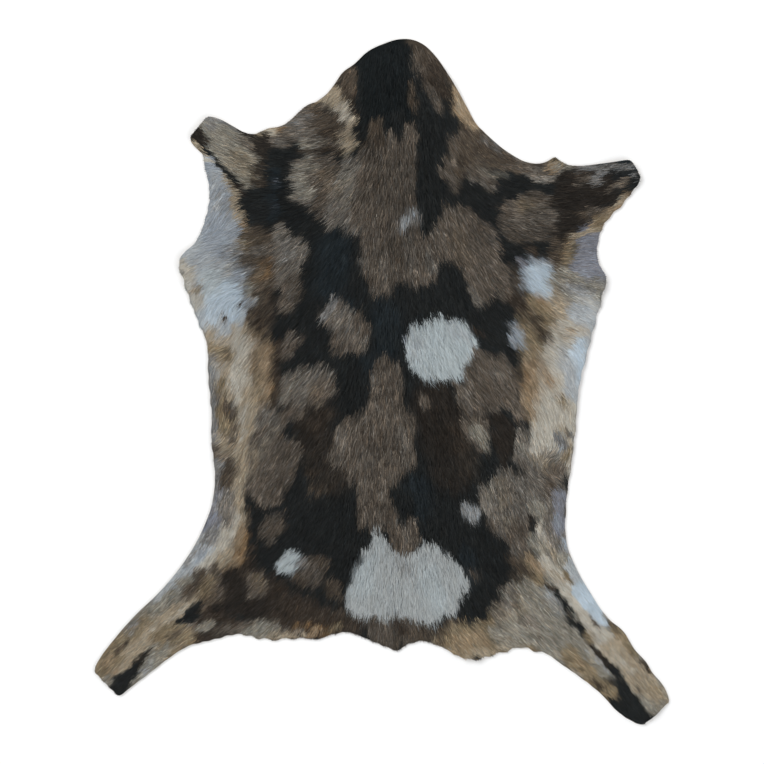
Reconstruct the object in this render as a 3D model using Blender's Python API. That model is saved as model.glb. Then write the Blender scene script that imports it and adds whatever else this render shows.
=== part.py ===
"""Goatskin rug: one hair-on hide in its natural outline, lying flat with the hair side up.

Metres, +Z up. +Y runs along the spine from the tail to the neck, and +X to the right as the skin is seen
from above with its neck away from the viewer. The origin is the middle of the skin's outline, on the
surface that the skin lies on.
"""

import math
from typing import NamedTuple

import bmesh
import bpy
from mathutils import Vector, noise

MM = 0.001

# Driving dimensions
SKIN_LENGTH = 856 * MM  # neck crest to the longer hind shank
SKIN_WIDTH = 718 * MM  # hind shank to hind shank
LEATHER = 1.4 * MM  # the tanned skin, without hair
PILE_ON_BACK = 7.0 * MM  # depth of the lying hair along the spine
PILE_AT_RIM = 1.8 * MM  # depth of the short hair at the cut edge
RIM_BAND = 75 * MM  # the pile deepens from the edge over this distance
LUMP_SIZE = 34 * MM  # spacing of the soft lumps in the pile
LUMP_SHARE = 0.28  # of the pile's depth
LOCK_REACH = 4.5 * MM  # how far a lock of hair overhangs the cut edge
LOCK_RECESS = 0.8 * MM  # how far the edge draws in between two locks
CELL = 15 * MM  # pitch of the mesh inside the outline
STEPS_BETWEEN_MARKS = 4
SHORTEST_EDGE = 1.6 * MM

SMOOTH, CORNER = False, True


class Mark(NamedTuple):
    """A point on the cut edge, in millimetres from the middle of the skin."""

    across: float
    along: float
    corner: bool


class Fold(NamedTuple):
    """A soft ridge where the skin lifts off the floor, in millimetres."""

    name: str
    from_across: float
    from_along: float
    to_across: float
    to_along: float
    height: float
    half_width: float


class Nap(NamedTuple):
    """The way the hair lies at one place. The heading is in degrees from +X towards +Y."""

    place: str
    across: float
    along: float
    heading: float


# The cut edge, from the neck crest down the left side, round the rump and up the right side
NECK_LEFT = [
    # across, along, kind
    Mark(26, 428, SMOOTH),
    Mark(0, 421, SMOOTH),
    Mark(-18, 412, SMOOTH),
    Mark(-35, 396, SMOOTH),
    Mark(-48, 387, SMOOTH),
    Mark(-60, 370, SMOOTH),
    Mark(-78, 351, SMOOTH),
    Mark(-92, 346, SMOOTH),
    Mark(-107, 333, SMOOTH),
    Mark(-121, 321, SMOOTH),
    Mark(-146, 314, SMOOTH),
]
LEFT_FORELEG = [
    Mark(-162, 308, SMOOTH),
    Mark(-186, 319, SMOOTH),
    Mark(-205, 328, SMOOTH),
    Mark(-216, 330, CORNER),
    Mark(-227, 318, SMOOTH),
    Mark(-239, 303, CORNER),
    Mark(-233, 293, SMOOTH),
    Mark(-223, 284, SMOOTH),
    Mark(-221, 272, SMOOTH),
    Mark(-215, 247, SMOOTH),
    Mark(-214, 227, SMOOTH),
    Mark(-221, 198, SMOOTH),
    Mark(-232, 174, SMOOTH),
    Mark(-248, 158, SMOOTH),
]
LEFT_FLANK = [
    Mark(-252, 148, CORNER),
    Mark(-240, 107, SMOOTH),
    Mark(-229, 78, SMOOTH),
    Mark(-218, 50, SMOOTH),
    Mark(-216, 8, SMOOTH),
    Mark(-212, -36, SMOOTH),
    Mark(-212, -70, SMOOTH),
    Mark(-208, -112, SMOOTH),
]
LEFT_HIND_LEG = [
    Mark(-211, -148, SMOOTH),
    Mark(-219, -174, SMOOTH),
    Mark(-242, -218, SMOOTH),
    Mark(-275, -260, SMOOTH),
    Mark(-309, -293, SMOOTH),
    Mark(-335, -323, SMOOTH),
    Mark(-352, -346, SMOOTH),
    Mark(-359, -359, CORNER),
    Mark(-343, -376, SMOOTH),
    Mark(-327, -393, CORNER),
    Mark(-318, -385, SMOOTH),
    Mark(-289, -363, SMOOTH),
    Mark(-253, -336, SMOOTH),
    Mark(-235, -327, SMOOTH),
    Mark(-210, -321, SMOOTH),
]
RUMP = [
    Mark(-178, -314, SMOOTH),
    Mark(-146, -320, SMOOTH),
    Mark(-98, -319, SMOOTH),
    Mark(-76, -320, SMOOTH),
    Mark(-62, -314, SMOOTH),
    Mark(-40, -312, SMOOTH),
    Mark(-16, -321, SMOOTH),
    Mark(7, -330, SMOOTH),
    Mark(19, -336, CORNER),
    Mark(30, -328, SMOOTH),
    Mark(44, -323, SMOOTH),
    Mark(60, -324, SMOOTH),
    Mark(84, -335, SMOOTH),
    Mark(109, -345, SMOOTH),
    Mark(145, -338, SMOOTH),
    Mark(182, -331, SMOOTH),
]
RIGHT_HIND_LEG = [
    Mark(189, -337, CORNER),
    Mark(200, -336, SMOOTH),
    Mark(221, -350, SMOOTH),
    Mark(243, -365, SMOOTH),
    Mark(271, -387, SMOOTH),
    Mark(300, -416, SMOOTH),
    Mark(323, -428, CORNER),
    Mark(338, -418, SMOOTH),
    Mark(348, -408, SMOOTH),
    Mark(359, -397, CORNER),
    Mark(351, -379, SMOOTH),
    Mark(336, -361, SMOOTH),
    Mark(330, -350, SMOOTH),
    Mark(316, -335, SMOOTH),
    Mark(301, -311, SMOOTH),
    Mark(284, -297, SMOOTH),
    Mark(260, -263, SMOOTH),
    Mark(241, -229, SMOOTH),
]
RIGHT_FLANK = [
    Mark(231, -202, SMOOTH),
    Mark(230, -151, SMOOTH),
    Mark(237, -97, SMOOTH),
    Mark(242, -46, SMOOTH),
    Mark(245, -10, SMOOTH),
    Mark(256, 38, SMOOTH),
    Mark(268, 83, SMOOTH),
]
RIGHT_FORELEG = [
    Mark(280, 131, CORNER),
    Mark(270, 148, SMOOTH),
    Mark(268, 168, SMOOTH),
    Mark(277, 197, SMOOTH),
    Mark(304, 227, SMOOTH),
    Mark(322, 252, CORNER),
    Mark(315, 267, SMOOTH),
    Mark(309, 277, CORNER),
    Mark(272, 272, SMOOTH),
    Mark(235, 270, SMOOTH),
    Mark(222, 275, SMOOTH),
    Mark(215, 281, CORNER),
    Mark(207, 275, SMOOTH),
    Mark(186, 273, SMOOTH),
    Mark(160, 285, SMOOTH),
    Mark(134, 306, SMOOTH),
]
NECK_RIGHT = [
    Mark(118, 322, SMOOTH),
    Mark(107, 342, SMOOTH),
    Mark(80, 388, SMOOTH),
    Mark(66, 408, SMOOTH),
    Mark(47, 424, SMOOTH),
]
CUT_EDGE = [
    *NECK_LEFT,
    *LEFT_FORELEG,
    *LEFT_FLANK,
    *LEFT_HIND_LEG,
    *RUMP,
    *RIGHT_HIND_LEG,
    *RIGHT_FLANK,
    *RIGHT_FORELEG,
    *NECK_RIGHT,
]

FOLDS = [
    # name, from across, from along, to across, to along, height, half width
    Fold("left flank roll", -196, 70, -190, -105, 5.0, 30),
    Fold("right flank roll", 242, 60, 214, -110, 5.0, 30),
    Fold("left shoulder ridge", -141, 288, -146, 180, 4.0, 20),
    Fold("right armpit ridge", 262, 232, 205, 168, 4.0, 24),
    Fold("left elbow lift", -252, 150, -235, 130, 6.0, 42),
    Fold("right elbow lift", 280, 132, 266, 118, 5.0, 36),
    Fold("left foreleg curl", -240, 312, -214, 322, 6.0, 34),
    Fold("right foreleg curl", 322, 268, 300, 262, 6.5, 36),
    Fold("left shank ridge", -241, -276, -345, -374, 4.0, 24),
    Fold("right shank ridge", 205, -244, 335, -408, 4.5, 26),
    Fold("rump wave", 112, -350, 100, -318, 5.0, 34),
    Fold("neck edge lift", 92, 372, 70, 352, 4.0, 36),
]

NAPS = [
    # place, across, along, heading
    Nap("neck", 25, 380, -90),
    Nap("withers", 10, 250, -90),
    Nap("back", 0, 60, -90),
    Nap("rump", 20, -250, -90),
    Nap("left foreleg", -215, 300, 140),
    Nap("left elbow", -230, 140, -150),
    Nap("left flank", -205, 0, -110),
    Nap("left groin", -200, -160, -100),
    Nap("left shank", -320, -340, -133),
    Nap("right foreleg", 290, 262, 10),
    Nap("right elbow", 262, 130, -40),
    Nap("right flank", 235, 0, -70),
    Nap("right groin", 220, -160, -80),
    Nap("right shank", 325, -385, -50),
]


def ease(share):
    """A smooth step from 0 to 1."""
    share = min(max(share, 0.0), 1.0)
    return share * share * (3 - 2 * share)


def nap_at(place):
    """The way the hair lies at a place: the nearest naps count most."""
    total = Vector((0, 0))
    for nap in NAPS:
        away = (place - Vector((nap.across, nap.along)) * MM).length
        turn = math.radians(nap.heading)
        total += Vector((math.cos(turn), math.sin(turn))) / (away + 20 * MM) ** 3
    return total.normalized()


def cut_edge_guide():
    """The cut edge as a closed Bezier curve: rounded at smooth marks, sharp at corners."""
    data = bpy.data.curves.new("cut_edge", "CURVE")
    data.dimensions = "2D"
    data.fill_mode = "NONE"
    data.resolution_u = STEPS_BETWEEN_MARKS
    spline = data.splines.new("BEZIER")
    spline.bezier_points.add(len(CUT_EDGE) - 1)
    spline.use_cyclic_u = True
    across = [mark.across for mark in CUT_EDGE]
    along = [mark.along for mark in CUT_EDGE]
    stretch_x = SKIN_WIDTH / (max(across) - min(across))
    stretch_y = SKIN_LENGTH / (max(along) - min(along))
    for point, mark in zip(spline.bezier_points, CUT_EDGE):
        point.co = (mark.across * stretch_x, mark.along * stretch_y, 0)
        kind = "VECTOR" if mark.corner else "AUTO"
        point.handle_left_type = kind
        point.handle_right_type = kind
    guide = bpy.data.objects.new("cut_edge", data)
    guide.hide_render = True
    guide.display_type = "WIRE"
    return guide


def points_on(guide):
    """The guide's points in order, read from the curve as Blender evaluates it."""
    graph = bpy.context.evaluated_depsgraph_get()
    mesh = bpy.data.meshes.new_from_object(guide.evaluated_get(graph))
    points = [vertex.co.to_2d() for vertex in mesh.vertices]
    bpy.data.meshes.remove(mesh)
    return points


def rim_with_locks(edge):
    """The rim of hair: every second point is a lock's tip where the hair points out over the cut edge."""
    rim = []
    for index, point in enumerate(edge):
        before = edge[index - 1]
        after = edge[(index + 1) % len(edge)]
        run = (after - before).normalized()
        outward = Vector((run.y, -run.x))
        lean = max(nap_at(point).dot(outward), 0.0)
        uneven = 0.75 + 0.5 * noise.noise(Vector((*point, 0)) / (9 * MM))
        reach = LOCK_REACH * uneven if index % 2 else -LOCK_RECESS
        rim.append(point + outward * reach * lean)
    return rim


def distance_to(place, start, end):
    """The distance from a place to the straight line between two points."""
    run = end - start
    share = (place - start).dot(run) / max(run.length_squared, 1e-12)
    return (place - start - run * min(max(share, 0.0), 1.0)).length


def lift_at(place):
    """How far the skin's underside is off the floor."""
    lift = 0.0
    for fold in FOLDS:
        start = Vector((fold.from_across, fold.from_along)) * MM
        end = Vector((fold.to_across, fold.to_along)) * MM
        away = distance_to(place, start, end) / (fold.half_width * MM)
        lift = max(lift, fold.height * MM * ease(1 - away))
    return lift


def depth_at(place, edge):
    """The skin's thickness with its hair: thin at the cut edge, deep and lumpy on the back."""
    away = min(distance_to(place, a, b) for a, b in zip(edge, edge[1:] + edge[:1]))
    pile = PILE_AT_RIM + (PILE_ON_BACK - PILE_AT_RIM) * ease(away / RIM_BAND)
    lump = noise.noise(Vector((*place, 0)) / LUMP_SIZE)
    return LEATHER + pile * (1 + LUMP_SHARE * lump)


def flat_sheet(rim):
    """The outline as one flat face, cut along a square grid so that it can bend."""
    sheet = bmesh.new()
    corners = [sheet.verts.new((*point, 0)) for point in rim]
    sheet.faces.new(corners)
    for direction, length in ((Vector((1, 0, 0)), SKIN_WIDTH), (Vector((0, 1, 0)), SKIN_LENGTH)):
        cuts = math.ceil(length / 2 / CELL)
        for cut in range(-cuts, cuts + 1):
            bmesh.ops.bisect_plane(
                sheet,
                geom=sheet.verts[:] + sheet.edges[:] + sheet.faces[:],
                dist=SHORTEST_EDGE,
                plane_co=direction * CELL * cut,
                plane_no=direction,
            )
    bmesh.ops.triangulate(sheet, faces=sheet.faces[:])
    return sheet


def thicken(sheet, edge):
    """Raises a top side from the flat sheet, and lifts both sides over the folds."""
    under = sheet.verts[:]
    places = [vertex.co.to_2d() for vertex in under]
    raised = bmesh.ops.extrude_face_region(sheet, geom=sheet.faces[:])
    top = [part for part in raised["geom"] if isinstance(part, bmesh.types.BMVert)]
    for vertex in top:
        place = vertex.co.to_2d()
        vertex.co.z = lift_at(place) + depth_at(place, edge)
    for vertex, place in zip(under, places):
        vertex.co.z = lift_at(place)
    bmesh.ops.recalc_face_normals(sheet, faces=sheet.faces[:])


def centre_outline(sheet):
    """Moves the skin so that the middle of its outline is over the origin."""
    for axis in (0, 1):
        values = [vertex.co[axis] for vertex in sheet.verts]
        middle = (min(values) + max(values)) / 2
        for vertex in sheet.verts:
            vertex.co[axis] -= middle


def coat_material():
    """Black and taupe goat hair, at its mean colour."""
    material = bpy.data.materials.new("goat_hair")
    material.use_nodes = True
    shader = material.node_tree.nodes["Principled BSDF"]
    shader.inputs["Base Color"].default_value = (0.065, 0.052, 0.042, 1)
    shader.inputs["Roughness"].default_value = 0.6
    shader.inputs["Metallic"].default_value = 0
    return material


def goatskin(edge):
    """The whole hide as one closed solid."""
    sheet = flat_sheet(rim_with_locks(edge))
    thicken(sheet, edge)
    centre_outline(sheet)
    mesh = bpy.data.meshes.new("goatskin")
    sheet.to_mesh(mesh)
    sheet.free()
    mesh.materials.append(coat_material())
    mesh.shade_smooth()
    mesh.set_sharp_from_angle(angle=math.radians(50))
    return bpy.data.objects.new("goatskin", mesh)


def main():
    for old in list(bpy.data.objects):
        bpy.data.objects.remove(old)
    parts = bpy.data.collections.new("goatskin_rug")
    guides = bpy.data.collections.new("guides")
    bpy.context.scene.collection.children.link(parts)
    bpy.context.scene.collection.children.link(guides)
    guide = cut_edge_guide()
    guides.objects.link(guide)
    bpy.context.view_layer.update()
    parts.objects.link(goatskin(points_on(guide)))


main()
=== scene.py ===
"""Goatskin rug: the tanned hide and its coat of hair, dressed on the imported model."""

import logging
import math
from dataclasses import dataclass
from enum import Enum
from typing import ClassVar, Union

import bmesh
import bpy
import numpy as np
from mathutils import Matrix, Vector
from mathutils.bvhtree import BVHTree
from mathutils.kdtree import KDTree


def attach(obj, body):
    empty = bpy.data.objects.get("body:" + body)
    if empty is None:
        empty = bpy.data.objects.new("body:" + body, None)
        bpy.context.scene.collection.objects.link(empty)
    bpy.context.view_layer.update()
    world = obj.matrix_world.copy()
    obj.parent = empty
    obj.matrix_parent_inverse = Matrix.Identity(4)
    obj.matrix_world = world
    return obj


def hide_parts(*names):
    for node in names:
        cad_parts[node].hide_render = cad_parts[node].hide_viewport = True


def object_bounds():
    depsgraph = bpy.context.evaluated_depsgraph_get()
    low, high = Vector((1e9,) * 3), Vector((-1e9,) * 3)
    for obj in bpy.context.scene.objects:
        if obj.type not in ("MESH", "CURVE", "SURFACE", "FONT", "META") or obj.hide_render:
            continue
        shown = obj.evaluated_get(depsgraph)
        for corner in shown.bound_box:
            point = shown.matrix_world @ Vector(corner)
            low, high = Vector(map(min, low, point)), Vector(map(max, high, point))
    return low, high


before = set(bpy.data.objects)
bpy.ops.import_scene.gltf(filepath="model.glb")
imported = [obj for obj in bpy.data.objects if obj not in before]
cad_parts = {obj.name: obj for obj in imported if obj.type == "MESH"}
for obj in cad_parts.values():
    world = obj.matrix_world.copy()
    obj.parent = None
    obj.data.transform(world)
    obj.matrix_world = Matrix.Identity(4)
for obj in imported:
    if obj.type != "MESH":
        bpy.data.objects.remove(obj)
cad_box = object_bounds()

LOG = logging.getLogger("goatskin_rug")

MM = 0.001
NODE = "goatskin"
BODY = "root"
SKIN_THICKNESS = 1.4
PHOTO_FRAME = 955.0
SEED = 41


class Slot(Enum):
    """Names of material slots."""

    HAIR = "goat_hair"
    SKIN = "tanned_skin"


Number = Union[int, float]


class Wire:
    """An output socket that takes part in Python expressions, each of which adds a Math node."""

    def __init__(self, tree: bpy.types.NodeTree, socket: bpy.types.NodeSocket) -> None:
        """Keeps the socket and the tree it belongs to."""
        self.tree = tree
        self.socket = socket

    def _math(self, operation: str, first: "Operand", second: "Operand") -> "Wire":
        """Adds one Math node.

        Args:
            operation: The Math node's operation.
            first: Its first value, a number or a wire.
            second: Its second value, a number or a wire.

        Returns:
            The node's output.
        """
        node = self.tree.nodes.new("ShaderNodeMath")
        node.operation = operation
        for slot, value in zip(node.inputs, (first, second)):
            if isinstance(value, Wire):
                self.tree.links.new(value.socket, slot)
            else:
                slot.default_value = value
        return Wire(self.tree, node.outputs[0])

    def __add__(self, other: "Operand") -> "Wire":
        """self + other."""
        return self._math("ADD", self, other)

    __radd__ = __add__

    def __mul__(self, other: "Operand") -> "Wire":
        """self * other."""
        return self._math("MULTIPLY", self, other)

    __rmul__ = __mul__

    def __sub__(self, other: "Operand") -> "Wire":
        """self - other."""
        return self._math("SUBTRACT", self, other)

    def __rsub__(self, other: "Operand") -> "Wire":
        """other - self."""
        return self._math("SUBTRACT", other, self)


Operand = Union[Number, Wire]
SocketValue = Union[Number, tuple, Wire]


class Dye:
    """A material and the tree of nodes that colours it."""

    def __init__(self, name: str) -> None:
        """Starts a material with an empty node tree."""
        self.material = bpy.data.materials.new(name)
        self.material.use_nodes = True
        self.tree = self.material.node_tree
        self.tree.nodes.clear()

    def node(
        self,
        kind: str,
        settings: dict[str, object] | None = None,
        sockets: dict[str, SocketValue] | None = None,
        output: str | None = None,
    ) -> Wire:
        """Adds a node: its settings first, then its sockets.

        Args:
            kind: The node's type, such as ShaderNodeTexNoise.
            settings: Properties of the node; stops is a ramp's list of places and colours.
            sockets: Values or wires for its inputs, by name.
            output: The output to hand back; the first one if None.

        Returns:
            The chosen output as a wire.
        """
        node = self.tree.nodes.new(kind)
        for name, value in (settings or {}).items():
            if name == "stops":
                self._set_ramp(node.color_ramp, value)
            else:
                setattr(node, name, value)
        for name, value in (sockets or {}).items():
            slot = self._input(node, name)
            if isinstance(value, Wire):
                self.tree.links.new(value.socket, slot)
            else:
                slot.default_value = value
        chosen = node.outputs[output] if output else self._first_output(node)
        return Wire(self.tree, chosen) if chosen else None

    @staticmethod
    def _first_output(node: bpy.types.Node) -> bpy.types.NodeSocket | None:
        """The first output that is switched on."""
        return next((socket for socket in node.outputs if socket.enabled), None)

    @staticmethod
    def _input(node: bpy.types.Node, name: str) -> bpy.types.NodeSocket:
        """The input of that name that is switched on."""
        return next(s for s in node.inputs if s.name == name and s.enabled)

    @staticmethod
    def _set_ramp(ramp: bpy.types.ColorRamp, stops: list[tuple[float, tuple]]) -> None:
        """Gives a colour ramp its stops.

        Args:
            ramp: The ramp of a ColorRamp node.
            stops: Pairs of place and linear colour, lowest place first.
        """
        while len(ramp.elements) < len(stops):
            ramp.elements.new(1.0)
        for element, (place, colour) in zip(ramp.elements, stops):
            element.position = place
            element.color = colour

    def finish(self, shader: dict[str, SocketValue]) -> bpy.types.Material:
        """Ends the tree in a Principled shader.

        Args:
            shader: Values or wires for the shader's inputs, by name.

        Returns:
            The material.
        """
        surface = self.node("ShaderNodeBsdfPrincipled", sockets=shader)
        self.node("ShaderNodeOutputMaterial", sockets={"Surface": surface})
        return self.material


def opaque(colour: tuple[Number, Number, Number]) -> tuple[float, ...]:
    """A screen colour of 0 to 255 as linear light, with full alpha."""
    return (*linear(colour), 1.0)


@dataclass(frozen=True)
class HairFinish:
    """Goat hair: each hair's colour, with painted shade at the root and a painted highlight at
    the tip, and a soft shine along it.
    """

    name: str = "goat hair"
    attribute: str = "coat"
    roughness: float = 0.52
    shine: float = 0.08

    def material(self) -> bpy.types.Material:
        """Makes the material of the long hair."""
        dye = Dye(self.name)
        colour = dye.node(
            "ShaderNodeAttribute", {"attribute_name": self.attribute}, output="Color"
        )
        return dye.finish(
            {
                "Base Color": colour,
                "Roughness": self.roughness,
                "Specular IOR Level": self.shine,
            }
        )


@dataclass(frozen=True)
class DownFinish:
    """The short down under the hair: the coat's colour in shade, with a fine nap."""

    name: str = "goat down"
    attribute: str = "coat"
    nap_scale: float = 900.0
    nap_depth: float = 0.0006
    nap_shade: float = 0.5

    def material(self) -> bpy.types.Material:
        """Makes the material of the down."""
        dye = Dye(self.name)
        place = dye.node("ShaderNodeTexCoord", output="Object")
        grain = dye.node(
            "ShaderNodeTexNoise",
            {"noise_dimensions": "3D"},
            {"Vector": place, "Scale": self.nap_scale, "Detail": 3.0},
            "Fac",
        )
        colour = dye.node(
            "ShaderNodeAttribute", {"attribute_name": self.attribute}, output="Color"
        )
        shaded = dye.node(
            "ShaderNodeMix",
            {"data_type": "RGBA", "blend_type": "MULTIPLY"},
            {"Factor": grain * self.nap_shade, "A": colour, "B": (0.3, 0.3, 0.3, 1.0)},
            None,
        )
        bump = dye.node(
            "ShaderNodeBump",
            sockets={"Height": grain, "Distance": self.nap_depth, "Strength": 1.0},
        )
        return dye.finish(
            {
                "Base Color": shaded,
                "Roughness": 0.9,
                "Specular IOR Level": 0.1,
                "Normal": bump,
            }
        )


@dataclass(frozen=True)
class SkinFinish:
    """The tanned skin: a pale suede flesh side with darker drifts and a fine nap."""

    name: str = "tanned skin"
    pale: tuple[int, int, int] = (214, 201, 178)
    drift: tuple[int, int, int] = (188, 168, 138)
    stain: tuple[int, int, int] = (156, 132, 102)
    drift_scale: float = 9.0
    nap_scale: float = 620.0
    pore_scale: float = 95.0
    nap_depth: float = 0.0005

    def material(self) -> bpy.types.Material:
        """Makes the material of the skin."""
        dye = Dye(self.name)
        place = dye.node("ShaderNodeTexCoord", output="Object")
        drifts = dye.node(
            "ShaderNodeTexNoise",
            None,
            {"Vector": place, "Scale": self.drift_scale, "Detail": 5.0, "Roughness": 0.6},
            "Fac",
        )
        nap = dye.node(
            "ShaderNodeTexNoise",
            None,
            {"Vector": place, "Scale": self.nap_scale, "Detail": 4.0, "Roughness": 0.7},
            "Fac",
        )
        pores = dye.node(
            "ShaderNodeTexVoronoi",
            {"feature": "DISTANCE_TO_EDGE"},
            {"Vector": place, "Scale": self.pore_scale},
            "Distance",
        )
        tone = dye.node(
            "ShaderNodeValToRGB",
            {
                "stops": [
                    (0.3, opaque(self.stain)),
                    (0.5, opaque(self.drift)),
                    (0.66, opaque(self.pale)),
                ]
            },
            {"Fac": drifts * 0.8 + nap * 0.2},
            "Color",
        )
        height = nap * 0.6 + pores * 0.8
        bump = dye.node(
            "ShaderNodeBump",
            sockets={"Height": height, "Distance": self.nap_depth, "Strength": 0.6},
        )
        return dye.finish(
            {
                "Base Color": tone,
                "Roughness": 0.85 + nap * 0.1,
                "Specular IOR Level": 0.25,
                "Sheen Weight": 0.2,
                "Normal": bump,
            }
        )


@dataclass(frozen=True)
class FloorFinish:
    """The studio's pale floor."""

    name: str = "studio floor"
    tone: float = 0.86

    def material(self) -> bpy.types.Material:
        """Makes the material of the floor."""
        dye = Dye(self.name)
        return dye.finish(
            {
                "Base Color": (self.tone, self.tone, self.tone, 1.0),
                "Roughness": 0.9,
                "Specular IOR Level": 0.1,
            }
        )


class Area(Enum):
    """The stretches of coat that are pieces of their own."""

    NECK = "coat_neck"
    FORELEGS = "coat_forelegs"
    BACK = "coat_back"
    LEFT_SIDE = "coat_left_side"
    RIGHT_SIDE = "coat_right_side"
    RUMP = "coat_rump"


def linear(colour: tuple[Number, Number, Number]) -> tuple[float, float, float]:
    """A screen colour of 0 to 255 as linear light.

    Args:
        colour: Red, green and blue from 0 to 255.

    Returns:
        Red, green and blue as linear light from 0 to 1.
    """
    shares = [value / 255 for value in colour]
    return tuple(
        s / 12.92 if s <= 0.04045 else ((s + 0.055) / 1.055) ** 2.4 for s in shares
    )


@dataclass(frozen=True)
class Tint:
    """A colour of hair, as a screen shows it, and how far single hairs stray from it."""

    red: int
    green: int
    blue: int
    fleck: float

    def light(self) -> np.ndarray:
        """The colour as linear light."""
        return np.array(linear((self.red, self.green, self.blue)))


class Shade(Enum):
    """The colours of the coat."""

    INK = Tint(19, 23, 24, 0.22)
    PITCH = Tint(26, 28, 28, 0.24)
    # Black hair with a bluish sheen of the sky painted into its colour.
    BLACK_PAINTED_SHEEN = Tint(29, 35, 38, 0.24)
    WARM_BLACK = Tint(36, 32, 28, 0.32)
    UMBER = Tint(52, 45, 38, 0.4)
    BARK = Tint(70, 62, 53, 0.42)
    DUSK = Tint(72, 66, 59, 0.42)
    TAUPE = Tint(82, 75, 67, 0.44)
    STONE = Tint(98, 93, 86, 0.42)
    ASH = Tint(121, 117, 107, 0.36)
    SMOKE = Tint(110, 109, 107, 0.36)
    RUST = Tint(118, 92, 62, 0.28)
    TAN = Tint(131, 115, 94, 0.28)
    OLIVE = Tint(114, 102, 82, 0.34)
    BUFF = Tint(140, 129, 111, 0.24)
    CREAM = Tint(161, 156, 145, 0.16)
    LILAC = Tint(113, 115, 122, 0.22)
    MIST = Tint(134, 140, 146, 0.17)
    SILVER = Tint(148, 152, 154, 0.15)
    FROST = Tint(153, 157, 157, 0.08)
    WHITE = Tint(160, 168, 170, 0.08)
    ICE = Tint(163, 175, 184, 0.12)


(
    INK, PITCH, BLACK_PAINTED_SHEEN, WARM_BLACK, UMBER, BARK, DUSK, TAUPE, STONE, ASH, SMOKE,
    RUST, TAN, OLIVE, BUFF, CREAM, LILAC, MIST, SILVER, FROST, WHITE, ICE,
) = Shade


def ease(share: np.ndarray) -> np.ndarray:
    """A smooth step from 0 to 1."""
    share = np.clip(share, 0, 1)
    return share * share * (3 - 2 * share)


def between(
    layer: np.ndarray, row: np.ndarray, col: np.ndarray, smooth: bool = False
) -> np.ndarray:
    """Reads a lattice between its points.

    Args:
        layer: The lattice's values, by row and column.
        row: The places along, in steps of the lattice.
        col: The places across, in steps of the lattice.
        smooth: Whether values run from point to point in smooth steps, not straight.

    Returns:
        A value for each place.
    """
    c, r = col.astype(int), row.astype(int)
    across, along = col - c, row - r
    if smooth:
        across, along = ease(across), ease(along)
    low = layer[r, c] * (1 - across) + layer[r, c + 1] * across
    high = layer[r + 1, c] * (1 - across) + layer[r + 1, c + 1] * across
    return low * (1 - along) + high * along


@dataclass(frozen=True)
class Waver:
    """Smooth noise from -1 to 1 across the skin, from a lattice of seeded values."""

    cell: float
    seed: int
    reach: float = 520.0

    def at(self, x: np.ndarray, y: np.ndarray) -> np.ndarray:
        """Reads the noise.

        Args:
            x: Places across the skin, in millimetres.
            y: Places along the skin, in millimetres.

        Returns:
            A value from -1 to 1 for each place.
        """
        size = int(2 * self.reach / self.cell) + 3
        lattice = np.random.default_rng(self.seed).uniform(-1, 1, (size, size))
        col = (np.clip(x, -self.reach, self.reach) + self.reach) / self.cell
        row = (np.clip(y, -self.reach, self.reach) + self.reach) / self.cell
        return between(lattice, row, col, smooth=True)


@dataclass(frozen=True)
class Lie:
    """The way the hair lies at a place, heading in degrees from +X towards +Y."""

    x: float
    y: float
    heading: float

    def weight(
        self, x: np.ndarray, y: np.ndarray, reach: float, fall: float
    ) -> np.ndarray:
        """How much this place counts elsewhere.

        Args:
            x: Places across the skin, in millimetres.
            y: Places along the skin, in millimetres.
            reach: The distance within which it counts almost evenly, in millimetres.
            fall: The power by which it falls off.

        Returns:
            A weight for each place.
        """
        return ((x - self.x) ** 2 + (y - self.y) ** 2 + reach**2) ** fall


@dataclass(frozen=True)
class Marking:
    """A marking of the coat: a tapered stroke between two places, in millimetres."""

    shade: Shade
    x: float
    y: float
    to_x: float
    to_y: float
    radius: float
    to_radius: float
    cover: float = 1.0
    soft: float = 8.0

    def share_at(self, x: np.ndarray, y: np.ndarray) -> np.ndarray:
        """How much of the hair takes this marking's colour.

        Args:
            x: Places across the skin, in millimetres.
            y: Places along the skin, in millimetres.

        Returns:
            A share from 0 to cover for each place.
        """
        run_x, run_y = self.to_x - self.x, self.to_y - self.y
        reach = max(run_x**2 + run_y**2, 1e-6)
        t = np.clip(((x - self.x) * run_x + (y - self.y) * run_y) / reach, 0, 1)
        away = np.hypot(x - self.x - t * run_x, y - self.y - t * run_y)
        rim = self.radius + (self.to_radius - self.radius) * t
        return self.cover * ease((rim - away) / self.soft + 0.5)


@dataclass(frozen=True)
class Region:
    """One stretch of the coat: where it is, its hair, the way it lies and its markings."""

    area: Area
    x: float
    y: float
    hair_length: float
    sleek: float
    lies: tuple[Lie, ...]
    markings: tuple[Marking, ...]


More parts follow.
